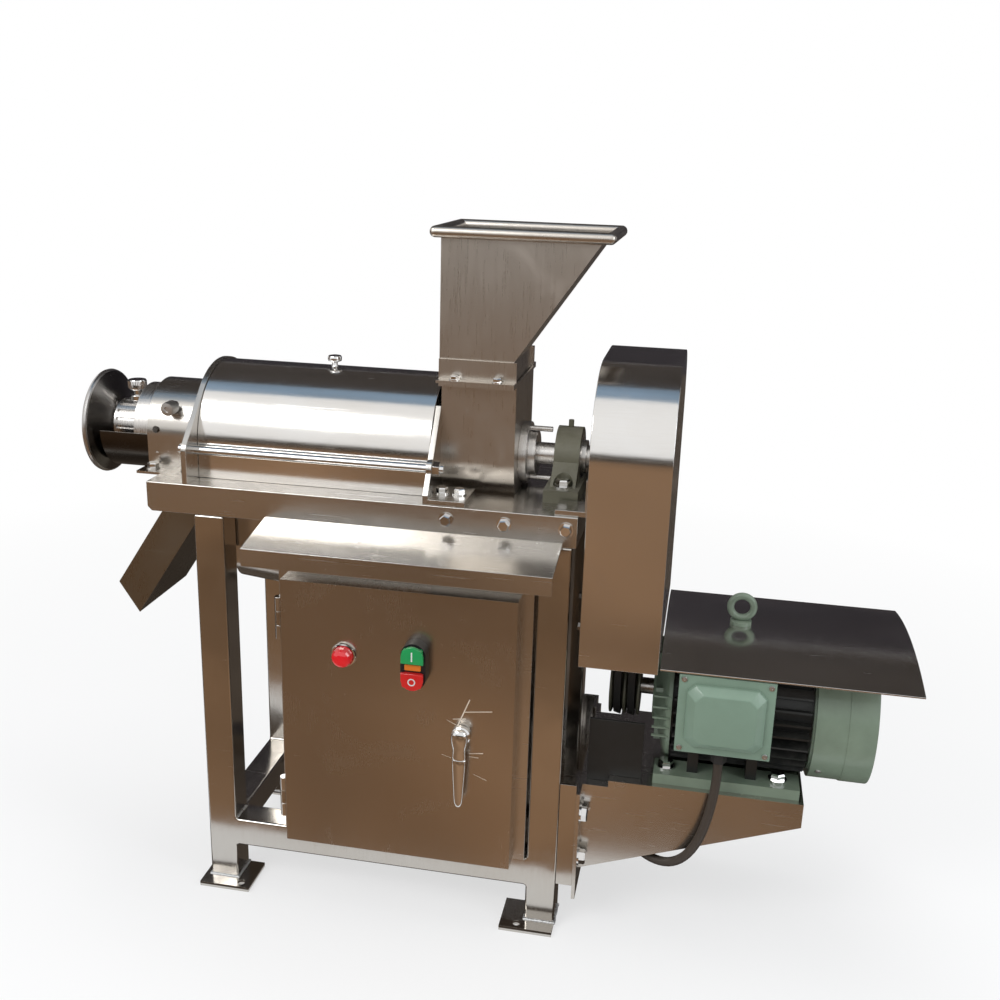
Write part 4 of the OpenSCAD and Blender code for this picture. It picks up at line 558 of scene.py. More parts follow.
steel("frame_tube", (0.56, 0.54, 0.51), 0.12, 0.2, (900, 900, 40), 0.12, 14, scratch=0.2)
steel("sheet_steel", (0.60, 0.585, 0.56), 0.20, 0.22, (40, 900, 900), 0.10, 6)
steel("polished_sheet", (0.78, 0.77, 0.755), 0.12, 0.25, (40, 800, 800), 0.10, 5, 0.4, 0.0)
steel("brushed_sheet", (0.58, 0.545, 0.50), 0.26, 0.3, (900, 900, 24), 0.06, 4, 0.6, -0.4)
steel("door_steel", (0.54, 0.50, 0.45), 0.22, 0.18, (900, 900, 24), 0.05, 4, 0.6, -0.4)
steel("turned_steel", (0.62, 0.61, 0.60), 0.20, 0.8, (1600, 60, 60))
steel("polished_trim", (0.74, 0.74, 0.74), 0.09, 0, smear=0.3, scratch=0.3)
steel("dark_steel", (0.20, 0.19, 0.18), 0.18, 0.12, (1200, 60, 60), smear=0.7, scratch=0.2)
steel("black_steel", (0.085, 0.078, 0.07), 0.22, 0.12, (1200, 60, 60), smear=0.7)
steel("bearing_steel", (0.55, 0.54, 0.53), 0.22, 0.6, (1600, 60, 60))
steel("chute_steel", (0.30, 0.28, 0.24), 0.24, 0.3, (900, 900, 60), 0.08, 6, smear=0.7)
steel("zinc_plate", (0.60, 0.61, 0.62), 0.32, 0.3, (300, 300, 300), dust=0.3)
print("steels", sorted(MATERIALS))

# %% [markdown]
# Painted castings are a different thing: the colour sits on top of a rough surface, it clouds
# and collects dust, and it has chips. Rubber and moulded plastic share the same function with
# other numbers, because each is a coloured skin over a fine texture.

# %% Paint, rubber and plastic
PALE_DUST = (0.45, 0.42, 0.38)
BARE_IRON = (0.16, 0.15, 0.13)


def coloured(name, colour, rough, lump, lump_size, dust, chips=0.0, coat=0.0, vary=0.25):
    material, tree, shade = new_material(name)
    place = object_place(tree)
    cloud = noise(place, 11.0, Detail=5.0, Roughness=0.6)
    powder = use(tree, "settled_dust", Place=place, Amount=dust)["Dust"]
    smears = use(tree, "hand_smears", Place=place, Size=16.0, Cover=0.4)["Smears"]
    shadow = tuple(c * (1 - vary) for c in colour)
    base = tint(spread(cloud, 0.35, 0.65), shadow, colour)
    base = tint(times(smears, 0.18), base, tuple(0.6 * c for c in colour))
    base = tint(times(powder, 0.55), base, PALE_DUST)
    value = spread(cloud, 0.3, 0.7, rough - 0.06, rough + 0.06)
    value = plus(value, times(powder, 0.3), True)
    height = noise(place, lump_size, Detail=3.0)
    if chips:
        bare = use(tree, "edge_chips", Place=place, Amount=chips)["Chips"]
        base = tint(bare, base, BARE_IRON)
        height = minus(height, times(bare, 0.6))
    fill(shade, {"Base Color": base, "Roughness": value, "Normal": bump(height, lump, 0.0006),
                 "Coat Weight": coat, "Coat Roughness": 0.08})
    MATERIALS[name] = material


coloured("cast_iron", (0.13, 0.125, 0.085), 0.45, 0.6, 140, 0.5, 0.3)
coloured("motor_paint", (0.20, 0.26, 0.19), 0.34, 0.25, 180, 0.35, 0.25, 0.2)
coloured("box_paint", (0.205, 0.30, 0.225), 0.34, 0.2, 200, 0.2, 0.1, 0.2, vary=0.12)
coloured("black_rubber", (0.022, 0.021, 0.020), 0.62, 0.3, 500, 0.35)
coloured("black_plastic", (0.018, 0.018, 0.019), 0.36, 0.15, 700, 0.15)
coloured("grey_plastic", (0.30, 0.31, 0.32), 0.45, 0.15, 600, 0.3)
coloured("green_plastic", (0.01, 0.36, 0.10), 0.22, 0.05, 300, 0.1, coat=0.5)
coloured("red_plastic", (0.72, 0.015, 0.015), 0.22, 0.05, 300, 0.1, coat=0.5)
coloured("amber_plastic", (0.85, 0.22, 0.02), 0.2, 0.05, 300, 0.1, coat=0.6)
coloured("lamp_lens", (0.80, 0.01, 0.02), 0.12, 0.05, 300, 0.05, coat=1.0, vary=0.1)
coloured("black_paint", (0.014, 0.014, 0.013), 0.5, 0.2, 240, 0.25)
# painted shade: this near-black finish stands for the shade under the motor's hood
coloured("dark_fins", (0.015, 0.017, 0.016), 0.4, 0.3, 200, 0.3)
coloured("white_print", (0.8, 0.8, 0.78), 0.4, 0.05, 400, 0.1)
coloured("lead_rubber", (0.055, 0.042, 0.032), 0.45, 0.2, 600, 0.3)
motor_lead.data.materials.append(MATERIALS["lead_rubber"])
print("finishes", len(MATERIALS))

# %% [markdown]
# Every CAD solid is exact, but its edges are knife sharp and its mesh is loose triangles. Real
# sheet has a small rounded edge that catches a line of light. So each node gets a worked copy:
# its triangles are merged, flat faces are joined, and a Bevel modifier rounds the edges by what
# its thickness allows. The copy stands for the node, keeps its place, and rides on its body.

# %% Worked copies of the CAD solids
MERGE = 2e-6
BEVEL_MM = {"leg_frame": 2.6, "bracket_rails": 0.9, "bed_tray": 1.0, "cabinet_door": 1.6,
            "cabinet_box": 0.9, "cabinet_roof": 0.6, "foot_plates": 0.7, "terminal_box": 1.6,
            "pillow_block": 1.8, "motor_frame": 0.5, "motor_end_bells": 1.2, "belt_guard": 0.9,
            "hopper": 0.5, "feed_box": 0.5, "contactor": 1.5, "button_body": 0.8,
            "large_pulley": 0.6, "small_pulley": 0.6, "auger": 0.8, "screen_drum": 0.3,
            "mounting_panel": 0.5, "start_button": 0.3, "stop_button": 0.3}


def worked_mesh(node):
    bm = bmesh.new()
    bm.from_mesh(NODES[node].data)
    bmesh.ops.remove_doubles(bm, verts=bm.verts, dist=MERGE)
    bmesh.ops.dissolve_limit(bm, angle_limit=math.radians(0.4), verts=bm.verts, edges=bm.edges)
    for layer in list(bm.loops.layers.float_vector.keys()):
        bm.loops.layers.float_vector.remove(bm.loops.layers.float_vector[layer])
    mesh = smooth(to_mesh(bm, node + "_work"))
    while mesh.attributes.get("custom_normal"):
        mesh.attributes.remove(mesh.attributes["custom_normal"])
    mesh.materials.clear()
    holder = show(node + "_holder", mesh)
    bevel = holder.modifiers.new("rounded", "BEVEL")
    bevel.width = BEVEL_MM.get(node, 0.45) / 1000
    bevel.segments = 2
    bevel.limit_method = "ANGLE"
    bevel.angle_limit = math.radians(30)
    bevel.use_clamp_overlap = True
    bevel.miter_outer = "MITER_ARC"
    holder.modifiers.new("even", "WEIGHTED_NORMAL").weight = 90
    done = holder.evaluated_get(bpy.context.evaluated_depsgraph_get())
    mesh = bpy.data.meshes.new_from_object(done)
    bpy.data.objects.remove(holder)
    return mesh


def worked(node, finish=None):
    return dress("dressed_" + node, worked_mesh(node), node, finish)


print("helpers for worked copies ready")

# %% [markdown]
# Hexagon bolts are the detail that repeats most. On the real machine each is a head with a
# chamfered top on a round washer. One Geometry Nodes tree makes that bolt from its sizes and
# sets a copy on each point of a small mesh, turned to the point's own direction. The places
# are those of the CAD bolts, so this one mesh stands for them all.

# %% Geometry Nodes: hexagon bolts
SIXTH_TURN = 1.0472  # in radians; a hexagon looks the same after it


def new_geometry(name, seed, inputs):
    """A Geometry Nodes tree with named inputs, a fixed seed and a material."""
    kind = "NodeSocketGeometry"
    inputs = {"Geometry": kind, **inputs, "Seed": seed, "Material": "NodeSocketMaterial"}
    return new_group(name, inputs, ["Geometry"], "GeometryNodeTree", kind)


def geo(kind, inputs, **options):
    """Add a geometry node after its inputs; its first output is what the next node takes."""
    return after("GeometryNode" + kind, inputs, **options)[0]


def finish_tree(tree, given, out, geometry):
    solid = geo("RealizeInstances", {"Geometry": geometry})
    fill(out, {"Geometry": geo("SetMaterial", {"Geometry": solid, "Material": given["Material"]})})
    return tree


def points_mesh(name, rows, edges):
    """Each row is a point's place, and where a tree asks for them, its direction and size."""
    mesh = bpy.data.meshes.new(name)
    mesh.from_pydata([row[0] for row in rows], list(edges), [])
    mesh.attributes.new("aim", "FLOAT_VECTOR", "POINT")
    mesh.attributes.new("size", "FLOAT", "POINT")
    aim, size = mesh.attributes["aim"], mesh.attributes["size"]
    for i, row in enumerate(rows):
        aim.data[i].vector = row[1] if len(row) > 1 else (0, 0, 1)
        size.data[i].value = row[2] if len(row) > 2 else 1.0
    return mesh


def run_tree(name, tree, finish, rows, edges=(), **values):
    """Run a tree on a small mesh of points and lines, and keep what it makes as a plain mesh."""
    holder = show(name + "_points", points_mesh(name, rows, edges))
    modifier = holder.modifiers.new("nodes", "NODES")
    modifier.node_group = tree
    values["Material"] = MATERIALS[finish]
    for item in tree.interface.items_tree:
        if item.in_out == "INPUT" and item.name in values:
            modifier[item.identifier] = values[item.name]
    done = holder.evaluated_get(bpy.context.evaluated_depsgraph_get())
    made = smooth(bpy.data.meshes.new_from_object(done), 30)
    holder.modifiers.clear()
    bpy.data.objects.remove(holder)
    print(name, len(made.polygons), "faces")
    return made


def named(tree, label, kind):
    return add(tree, "GeometryNodeInputNamedAttribute", {"Name": label},
               data_type=kind).outputs["Attribute"]


def lifted(geometry, z):
    shift = after("ShaderNodeCombineXYZ", {"Z": z})[0]
    return geo("Transform", {"Geometry": geometry, "Translation": shift})


def turned_to(vector, axis):
    return after("FunctionNodeAlignRotationToVector", {"Vector": vector}, axis=axis)[0]


def aimed(tree):
    return turned_to(named(tree, "aim", "FLOAT_VECTOR"), "Z")


def about_z(rotation, angle):
    """A rotation with a turn about its own Z before it."""
    twist = add(rotation.id_data, "FunctionNodeAxisAngleToRotation",
                {"Axis": (0, 0, 1), "Angle": angle}).outputs[0]
    return after("FunctionNodeRotateRotation", {"Rotation": rotation, "Rotate By": twist},
                 rotation_space="LOCAL")[0]


def copies(points, instance, **inputs):
    """A copy of the instance on each point."""
    return geo("InstanceOnPoints", {"Points": points, "Instance": instance, **inputs})


def bolt_tree():
    tree, given, out = new_geometry("hexagon_bolts", 4, {
        "Head Radius": 0.0065, "Head Height": 0.0053,
        "Washer Radius": 0.008, "Washer Height": 0.0016})
    radius, height, under = given["Head Radius"], given["Head Height"], given["Washer Height"]
    low, top = times(height, 0.78), times(height, 0.22)
    washer = geo("MeshCylinder", {"Vertices": 32, "Radius": given["Washer Radius"],
                                  "Depth": under})
    prism = geo("MeshCylinder", {"Vertices": 6, "Radius": radius, "Depth": low})
    crown = geo("MeshCone", {
        "Vertices": 6, "Radius Top": times(radius, 0.84), "Radius Bottom": radius, "Depth": top})
    bolt = add(tree, "GeometryNodeJoinGeometry")
    for part in (lifted(washer, times(under, 0.5)),
                 lifted(prism, plus(under, times(low, 0.5))),
                 lifted(crown, plus(under, low))):
        tree.links.new(part, bolt.inputs[0])
    spin = add(tree, "FunctionNodeRandomValue", {"Min": 0.0, "Max": 1.0, "Seed": given["Seed"]},
               data_type="FLOAT").outputs["Value"]
    turn = about_z(aimed(tree), times(spin, SIXTH_TURN))
    points = geo("MeshToPoints", {"Mesh": given["Geometry"]})
    bolts = copies(points, bolt.outputs[0], Rotation=turn, Scale=named(tree, "size", "FLOAT"))
    return finish_tree(tree, given, out, bolts)


def solids_of(node):
    """The low and high corner of each separate solid in a CAD node, in the order of its points."""
    bm = bmesh.new()
    bm.from_mesh(NODES[node].data)
    bmesh.ops.remove_doubles(bm, verts=bm.verts, dist=MERGE)
    seen, boxes = set(), []
    for start in bm.verts:
        if start in seen:
            continue
        group, todo = [], [start]
        seen.add(start)
        while todo:
            vert = todo.pop()
            group.append(vert.co.copy())
            others = {edge.other_vert(vert) for edge in vert.link_edges} - seen
            seen |= others
            todo.extend(others)
        boxes.append([Vector([end(p[k] for p in group) for k in range(3)]) for end in (min, max)])
    bm.free()
    return boxes


BOLT_TREE = bolt_tree()
bolt_boxes = solids_of("hex_bolts")
print("CAD bolts", len(bolt_boxes))

# %% Set the bolts
WASHER_WIDTH = 0.016
rows = []
for low, high in bolt_boxes:
    extent = high - low
    short = min(range(3), key=lambda k: extent[k])
    if low.z > 0.55 and high.x < -0.25:  # the stud on the housing is turned in its own cell
        continue
    direction = (Vector((1, 0, 0)), Vector((0, -1, 0)), Vector((0, 0, 1)))[short]
    seat = (low + high) / 2
    seat[short] = high[short] if short == 1 else low[short]
    rows.append((seat, direction, max(extent) / WASHER_WIDTH))
dress("bolt_set", run_tree("bolts", BOLT_TREE, "polished_trim", rows), "hex_bolts")

# %% [markdown]
# Turned parts, such as the knob, the thumb screw and the big stud, are solids of revolution. A
# lathe profile of radius and height pairs says everything about them, so one helper turns a
# profile about any direction. Enough segments keep the outline round close up.

# %% Turned parts
AXIS_Z, KNOB_X = 0.5405, -0.08425
STUD_PLACE = (-0.262, -0.0437, 0.575)
FRONT, BACK, RIGHT, UP = (0, -1, 0), (0, 1, 0), (1, 0, 0), (0, 0, 1)


def turned(name, profile, place, direction=UP, segments=48, sharp=35):
    """Turn a profile of radius and height pairs, in millimetres, about a direction."""
    bm = bmesh.new()
    rings = []
    for radius, height in ((a / 1000, b / 1000) for a, b in profile):
        angles = [2 * math.pi * k / segments for k in range(segments if radius > 0 else 1)]
        rings.append([bm.verts.new((radius * math.cos(t), radius * math.sin(t), height))
                      for t in angles])
    for a, b in zip(rings, rings[1:]):
        for k in range(segments):
            n = (k + 1) % segments
            corners = dict.fromkeys((a[k % len(a)], a[n % len(a)], b[n % len(b)], b[k % len(b)]))
            if len(corners) > 2:
                bm.faces.new(list(corners))
    bmesh.ops.recalc_face_normals(bm, faces=bm.faces)
    mesh = to_mesh(bm, name)
    mesh.transform(Matrix.Translation(place) @ turn_to(direction))
    return smooth(mesh, sharp)


stud = turned("stud", ((0, 0), (5, 0), (5, 7.6), (8, 7.6), (8, 20.3), (7.2, 22.3), (3.4, 22.6),
                       (3.0, 21.3), (0, 21.3)), STUD_PLACE, FRONT)
put("housing_stud", stud, "stand", "polished_trim", finish="zinc_plate")

knob_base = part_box("cover_knob")[0].z
knob = turned("knob", ((0, 0), (4.2, 0), (3.4, 1.5), (3.2, 4.5), (4.6, 5.4), (7.4, 6.2), (8, 7.4),
                       (8, 10.6), (7.2, 12.2), (4, 12.9), (0, 13)), (KNOB_X, 0, knob_base))
dress("crest_knob", knob, "cover_knob")
print("turned parts", len(stud.polygons) + len(knob.polygons), "faces")

# %% [markdown]
# The thumb screw has a knurled head. A knurl is one ridge repeated round a circle, so it is a
# short Geometry Nodes tree: a circle of points, a ridge on each, turned to face outwards. A
# corner of each ridge points out, so the ring looks toothed.

# %% Geometry Nodes: knurled ring
def knurl_tree():
    tree, given, out = new_geometry("knurled_ring", 1, {
        "Count": 30, "Radius": 0.011, "Length": 0.008, "Ridge": 0.0009})
    ring = geo("MeshCircle", {"Vertices": given["Count"], "Radius": given["Radius"]})
    size = after("ShaderNodeCombineXYZ", {"X": given["Ridge"], "Y": given["Ridge"],
                                          "Z": given["Length"]})[0]
    ridge = geo("MeshCube", {"Size": size})
    outward = turned_to(add(tree, "GeometryNodeInputPosition").outputs[0], "X")
    knurl = copies(ring, ridge, Rotation=about_z(outward, math.radians(45)))
    return finish_tree(tree, given, out, copies(given["Geometry"], knurl, Rotation=aimed(tree)))


LOCK_X = -0.331
lock_low, lock_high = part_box("lock_screw")
screw_body = turned("screw_body", (
    (0, 0), (4.6, 0), (5, 0.6), (5, 10.4), (9, 10.4), (9.4, 11), (9.4, 16), (9, 16.6), (5.2, 16.8),
    (5.2, 23.4), (10, 23.6), (10.6, 24.4), (10.6, 34), (10, 35.2), (4, 35.6), (0, 35.6)),
    (LOCK_X, 0, lock_low.z))
head = (LOCK_X, 0, lock_high.z - 0.0062)
ridges = run_tree("thumb_knurl", knurl_tree(), "polished_trim", [(head,)], Count=34, Radius=0.0102,
                  Length=0.0085, Ridge=0.0011)
dress("thumb_screw", [screw_body, ridges], "lock_screw")

# %% [markdown]
# The handwheel is a deep dish of dark polished steel with a rolled rim. It is turned like the
# other round parts, but with a second, lighter steel on the rim: a painted highlight for the
# bright sheen along the rim's edge.

# %% Handwheel
def two_finishes(mesh, first, second, is_second):
    """Give a mesh two finishes; is_second says of a face's centre whether it has the second."""
    for name in (first, second):
        mesh.materials.append(MATERIALS[name])
    for polygon in mesh.polygons:
        polygon.material_index = int(is_second(polygon.center))


RIM_RADIUS = 0.0592
wheel_low, wheel_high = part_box("handwheel")
depth = (wheel_high.x - wheel_low.x) * 1000
dish = turned("dish", (
    (0, 3.4), (18, 3.6), (28, 6), (54.5, 4.2), (56.2, 2.6), (57.5, 0.6), (59.6, 0.1), (61.2, 1.0),
    (61.9, 3.2), (61.2, 5.4), (59.4, 6.4), (57.6, 7.2), (43, 13.5), (31, depth - 2.2),
    (29.4, depth - 0.5), (27.5, depth - 0.1), (17.6, depth - 0.1), (17.6, depth - 4.3),
    (0, depth - 4.3)), (wheel_low.x, 0, AXIS_Z), RIGHT, 96)
# painted highlight: the lighter steel on the rim stands for the sheen along its edge
two_finishes(dish, "dark_steel", "bearing_steel",
             lambda c: math.hypot(c.y, c.z - AXIS_Z) > RIM_RADIUS)
dress("handwheel_dish", dish, "handwheel")
print("handwheel", round(depth, 1), "mm deep")

# %% [markdown]
# The door is drawn steel with the marks of its own handle: years of swinging keys and rings
# leave fine bright scratches that fan out from the pivot. Each is a short line in the door's
# plane, so the material measures how near a point is to a segment and polishes the steel there.

# %% Door and its scratches
BRIGHT_MARK = (0.95, 0.90, 0.82)
DOOR_MARKS = (
    ((0.099, 0.262), (0.112, 0.295), 0.0008), ((0.107, 0.280), (0.137, 0.284), 0.0006),
    ((0.113, 0.230), (0.128, 0.232), 0.0007), ((0.113, 0.226), (0.123, 0.226), 0.0006),
    ((0.094, 0.270), (0.108, 0.272), 0.0005), ((0.087, 0.268), (0.098, 0.263), 0.0003),
    ((0.118, 0.205), (0.133, 0.199), 0.0003), ((0.082, 0.225), (0.092, 0.222), 0.0003))


def line_mark(place, start, end, width):
    """1 on the segment from start to end in the XZ plane, 0 beyond its width."""
    run = Vector((end[0] - start[0], 0, end[1] - start[1]))
    flat = vectors("MULTIPLY", place, (1, 0, 1))
    rel = vectors("SUBTRACT", flat, (start[0], 0, start[1]))
    along = vectors("DOT_PRODUCT", rel, tuple(run / run.length_squared), "Value")
    foot = after("ShaderNodeVectorMath", {0: tuple(run), "Scale": plus(along, 0.0, True)},
                 operation="SCALE")[0]
    away = vectors("DISTANCE", rel, foot, "Value")
    return spread(minus(away, width), 0.0, -0.6 * width)


tree = MATERIALS["door_steel"].node_tree
shade = tree.nodes["Principled BSDF"]
place = object_place(tree)
marks = None
for start, end, width in DOOR_MARKS:
    one = line_mark(place, start, end, width)
    marks = one if marks is None else most(marks, one)
colour, rough = (shade.inputs[key].links[0].from_socket for key in ("Base Color", "Roughness"))
fill(shade, {"Base Color": tint(marks, colour, BRIGHT_MARK),
             "Roughness": plus(rough, times(marks, 0.6), True)})
worked("cabinet_door", "door_steel")

# %% [markdown]
# The door's handle is a die-cast zinc lever, chromed. Its section changes all the way down: a
# round dome on the pivot, a waist, then a long grip that narrows to a rounded end. So it is a
# loft: closed rings of one rounded section, each with its own place, width and depth.

# %% Handle
def loft(name, rings, corner=2.15, steps=32):
    """Rings are (centre, half width along X, half depth along Y); the rings stand level in XY."""
    def point(centre, a, b, t):
        c, s = math.cos(t), math.sin(t)
        return (centre[0] + a * math.copysign(abs(c) ** (2 / corner), c),
                centre[1] + b * math.copysign(abs(s) ** (2 / corner), s), centre[2])
    bm = bmesh.new()
    skin(bm, [[point(*ring, 2 * math.pi * k / steps) for k in range(steps)] for ring in rings])
    return smooth(to_mesh(bm, name), 40)


DOOR_FACE = -0.142
PIVOT = Vector((0.104, DOOR_FACE, 0.253))
GRIP = [(10.6, 3.2, 2.0), (10.2, 5.4, 3.4), (8.5, 7.6, 4.6), (5, 9.0, 5.4), (0, 9.6, 5.8),
        (-5, 9.2, 5.6), (-10, 8.0, 4.6), (-14, 7.2, 4.0), (-18, 7.4, 3.9), (-22, 7.7, 3.8),
        (-24, 7.7, 3.7), (-24.8, 7.1, 3.3), (-25.6, 7.7, 3.7), (-32, 7.6, 3.7), (-45, 7.0, 3.6),
        (-58, 6.2, 3.4), (-70, 5.5, 3.1), (-78, 4.8, 2.9), (-82, 3.6, 2.3), (-83.6, 1.8, 1.3)]
grip = loft("grip", [((PIVOT.x, PIVOT.y - 0.0122, PIVOT.z + z / 1000), a / 1000, b / 1000)
                     for z, a, b in GRIP])
boss = turned("boss", ((0, 0.3), (10.6, 0.3), (11, 1.0), (10.6, 5.5), (8.2, 7.5), (8.0, 9.4),
                       (0, 9.4)), PIVOT, FRONT)
pin = turned("pin", ((0, 0), (4, 0), (4, 28), (0, 28)), PIVOT, BACK, 24)
cap = turned("cap", ((0, 15.0), (5.4, 15.0), (6.2, 15.6), (6.0, 16.1), (4.6, 16.7), (0, 17.0)),
             PIVOT, FRONT, 32)
dress("door_lever", [grip, boss, pin, cap], "door_handle")
print("lever", len(GRIP), "rings")

# %% [markdown]
# The twin push switch and the pilot light are moulded parts. The two caps are half ovals with a
# moulded mark each: a bar for start, a ring for stop. Between them sits a small amber lens. The
# pilot light is a faceted red dome in a chromed ring.

# %% Switch marks and pilot light
KEY_X, KEY_HALF = 0.052, 0.0125


def rounded_box(name, low, high, radius, segments=2):
    bm = bmesh.new()
    bmesh.ops.create_cube(bm, size=1)
    bmesh.ops.scale(bm, vec=Vector(high) - Vector(low), verts=bm.verts)
    bmesh.ops.translate(bm, vec=(Vector(high) + Vector(low)) / 2, verts=bm.verts)
    round_edges(bm, bm.edges, radius, segments)
    return smooth(to_mesh(bm, name), 35)


def half_oval(name, low_z, high_z, up, y_face, y_back):
    """A key cap: square at one end, a half circle at the other, with a rounded front edge."""
    flat_z, curve_z, sign = (low_z, high_z - KEY_HALF, 1) if up else (high_z, low_z + KEY_HALF, -1)
    arc = [(KEY_X + KEY_HALF * math.cos(math.pi * k / 20),
            curve_z + sign * KEY_HALF * math.sin(math.pi * k / 20)) for k in range(21)]
    rim = [(KEY_X + KEY_HALF, flat_z), *arc, (KEY_X - KEY_HALF, flat_z)]
    bm = bmesh.new()
    skin(bm, [[(x, y, z) for x, z in rim] for y in (y_face, y_back)])
    front = [e for e in bm.edges if all(abs(v.co.y - y_face) < 1e-6 for v in e.verts)]
    round_edges(bm, front, 0.0012, 3, True)
    return smooth(to_mesh(bm, name), 35)


for node, low_z, high_z, up in (("start_button", 0.3395, 0.3595, True),
                                ("stop_button", 0.3085, 0.3285, False)):
    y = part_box(node)[0].y
    cap = half_oval(node + "_face", low_z, high_z, up, y - 0.0001, y + 0.0032)
    dress("dressed_" + node, [cap, worked_mesh(node)], node)
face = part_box("start_button")[0].y
bar = rounded_box("bar", (KEY_X - 0.0008, face - 0.0003, 0.3430),
                  (KEY_X + 0.0008, face + 0.0006, 0.3540), 0.00025)
put("start_mark", bar, "start_key", "green_plastic", finish="white_print")
ring = turned("ring", ((3.0, -0.6), (4.3, -0.6), (4.3, 0.2), (4.2, 0.3), (3.1, 0.3), (3.0, 0.2),
                       (3.0, -0.6)), (KEY_X, face, 0.3190), FRONT, 40)
put("stop_mark", ring, "stop_key", "red_plastic", finish="white_print")

LIGHT = (-0.030, DOOR_FACE, 0.333)
dome = turned("dome", ((0, -3), (11.6, -3), (11.6, 4.6), (11.4, 9.2), (10.8, 11.4), (9.2, 13.4),
                       (6.6, 14.9), (3.4, 15.7), (0, 16.0)), LIGHT, FRONT, 14, 20)
dress("pilot_dome", dome, "indicator_lamp")
bezel = turned("bezel", ((11.7, -0.2), (14.5, -0.2), (14.5, 2.2), (13.7, 3.4), (12.3, 3.8),
                         (11.7, 3.2), (11.7, -0.2)), LIGHT, FRONT)
nut = turned("nut", ((5, 1.8), (12.5, 1.8), (12.5, 7), (9.4, 7), (9.4, 17), (8.4, 18), (5, 18),
                     (5, 1.8)), LIGHT, BACK, 6, 20)
put("pilot_ring", [bezel, nut], "door", "lamp_lens", finish="polished_trim")
print("switch face", round(face, 4))

# %% [markdown]
# The terminal box has a pressed lid: a flat square flange, four corner screws, and a raised
# field with sloping sides and cut corners. The field is built from eight-sided outlines, wide
# ones at its foot and narrower ones at its top, which gives the slopes and corners at once.

# %% Terminal box lid
SCREW_X, SCREW_Z = 0.0455, 0.0405
lid_low, lid_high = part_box("terminal_lid")
middle = (lid_low + lid_high) / 2


def cross_screw(place, direction, r=3.2):
    return turned("screw", ((0, 0), (r, 0), (r, 0.7), (r * 0.86, 1.4), (r * 0.3, 1.7),
                            (r * 0.28, 1.0), (0, 1.0)), place, direction, 20, 30)


def outline(half_x, half_z, cut, y):
    return [(middle.x + a * (half_x - u * cut), y, middle.z + b * (half_z - v * cut))
            for a, b, u, v in ((1, 1, 0, 1), (1, 1, 1, 0), (-1, 1, 1, 0), (-1, 1, 0, 1),
                               (-1, -1, 0, 1), (-1, -1, 1, 0), (1, -1, 1, 0), (1, -1, 0, 1))]


bm = bmesh.new()
skin(bm, [outline(*row) for row in (
    (0.0425, 0.0370, 0.0090, lid_high.y - 0.0035), (0.0415, 0.0360, 0.0088, lid_low.y + 0.0080),
    (0.0330, 0.0290, 0.0085, lid_low.y + 0.0006), (0.0320, 0.0280, 0.0082, lid_low.y))])
round_edges(bm, bm.edges, 0.0007, 2)
field = to_mesh(bm, "field")
flange = rounded_box("flange", (lid_low.x, lid_high.y - 0.004, lid_low.z), lid_high, 0.0012, 3)
dress("pressed_lid", [flange, field], "terminal_lid")
screws = [cross_screw((middle.x + a * SCREW_X, lid_high.y - 0.004, middle.z + b * SCREW_Z), FRONT)
          for a in (-1, 1) for b in (-1, 1)]
put("lid_screws", screws, "stand", "box_paint", finish="zinc_plate")
print("lid", round((lid_high.x - lid_low.x) * 1000), "mm wide")

# %% [markdown]
# The motor's barrel, between sage green end castings, is coloured near black as painted shade:
# it stands for the shade that the hood casts over the motor. Its feet and the seat of its
# terminal box stay green. The CAD node is one casting, so its copy gets both finishes, chosen
# by place. The eye bolt on top is painted with the castings.

# %% Motor barrel, cowl seam and screws
MOTOR_Z, FEET_TOP, SEAT_Y = 0.267, 0.2006, -0.0795
COWL_RADIUS, COWL_SCREW_X, SEAM_X = 0.0818, 0.4935, 0.5185
barrel = worked_mesh("motor_frame")
# painted shade: barrel faces above the feet and behind the box seat get the near-black finish
two_finishes(barrel, "motor_paint", "dark_fins", lambda c: c.z > FEET_TOP and c.y >= SEAT_Y)
dress("motor_barrel", barrel, "motor_frame")
worked("eye_bolt", "motor_paint")

seam = turned("seam", ((81.0, 0), (82.6, 0.4), (82.9, 1.4), (82.9, 30), (82.6, 30.6), (81.0, 31),
                       (81.0, 0)), (SEAM_X, 0, MOTOR_Z), RIGHT, 96)
put("cowl_band", seam, "stand", "motor_paint")
screws = []
for t in map(math.radians, (-38, 40, 142, 218)):
    y, z = -math.cos(t), math.sin(t)
    place = (COWL_SCREW_X, COWL_RADIUS * y, MOTOR_Z + COWL_RADIUS * z)
    screws.append(cross_screw(place, (0, y, z), 3.4))
put("cowl_screws", screws, "stand", "motor_paint", finish="zinc_plate")
ribs = []
for angle in (-18, -9, 0, 9, 18, 162, 171, 180, 189, 198):
    rib = rounded_box("rib", (0.3075, -0.0792, -0.0011), (0.3265, -0.0760, 0.0011), 0.0006)
    turn = Matrix.Rotation(math.radians(angle), 4, "X")
    rib.transform(Matrix.Translation((0, 0, MOTOR_Z)) @ turn)
    ribs.append(rib)
put("bell_ribs", ribs, "stand", "motor_paint")
print("barrel faces", len(barrel.polygons), "ribs", len(ribs))

# %% [markdown]
# A V-belt is one closed path with one section, a trapezoid whose slant sits in the pulley's
# groove. The path follows from the two pulleys: two arcs and the two straight spans that touch
# both. The tree turns that path into a curve and sweeps the section along it, so the belt would
# follow if the pulleys' sizes changed.

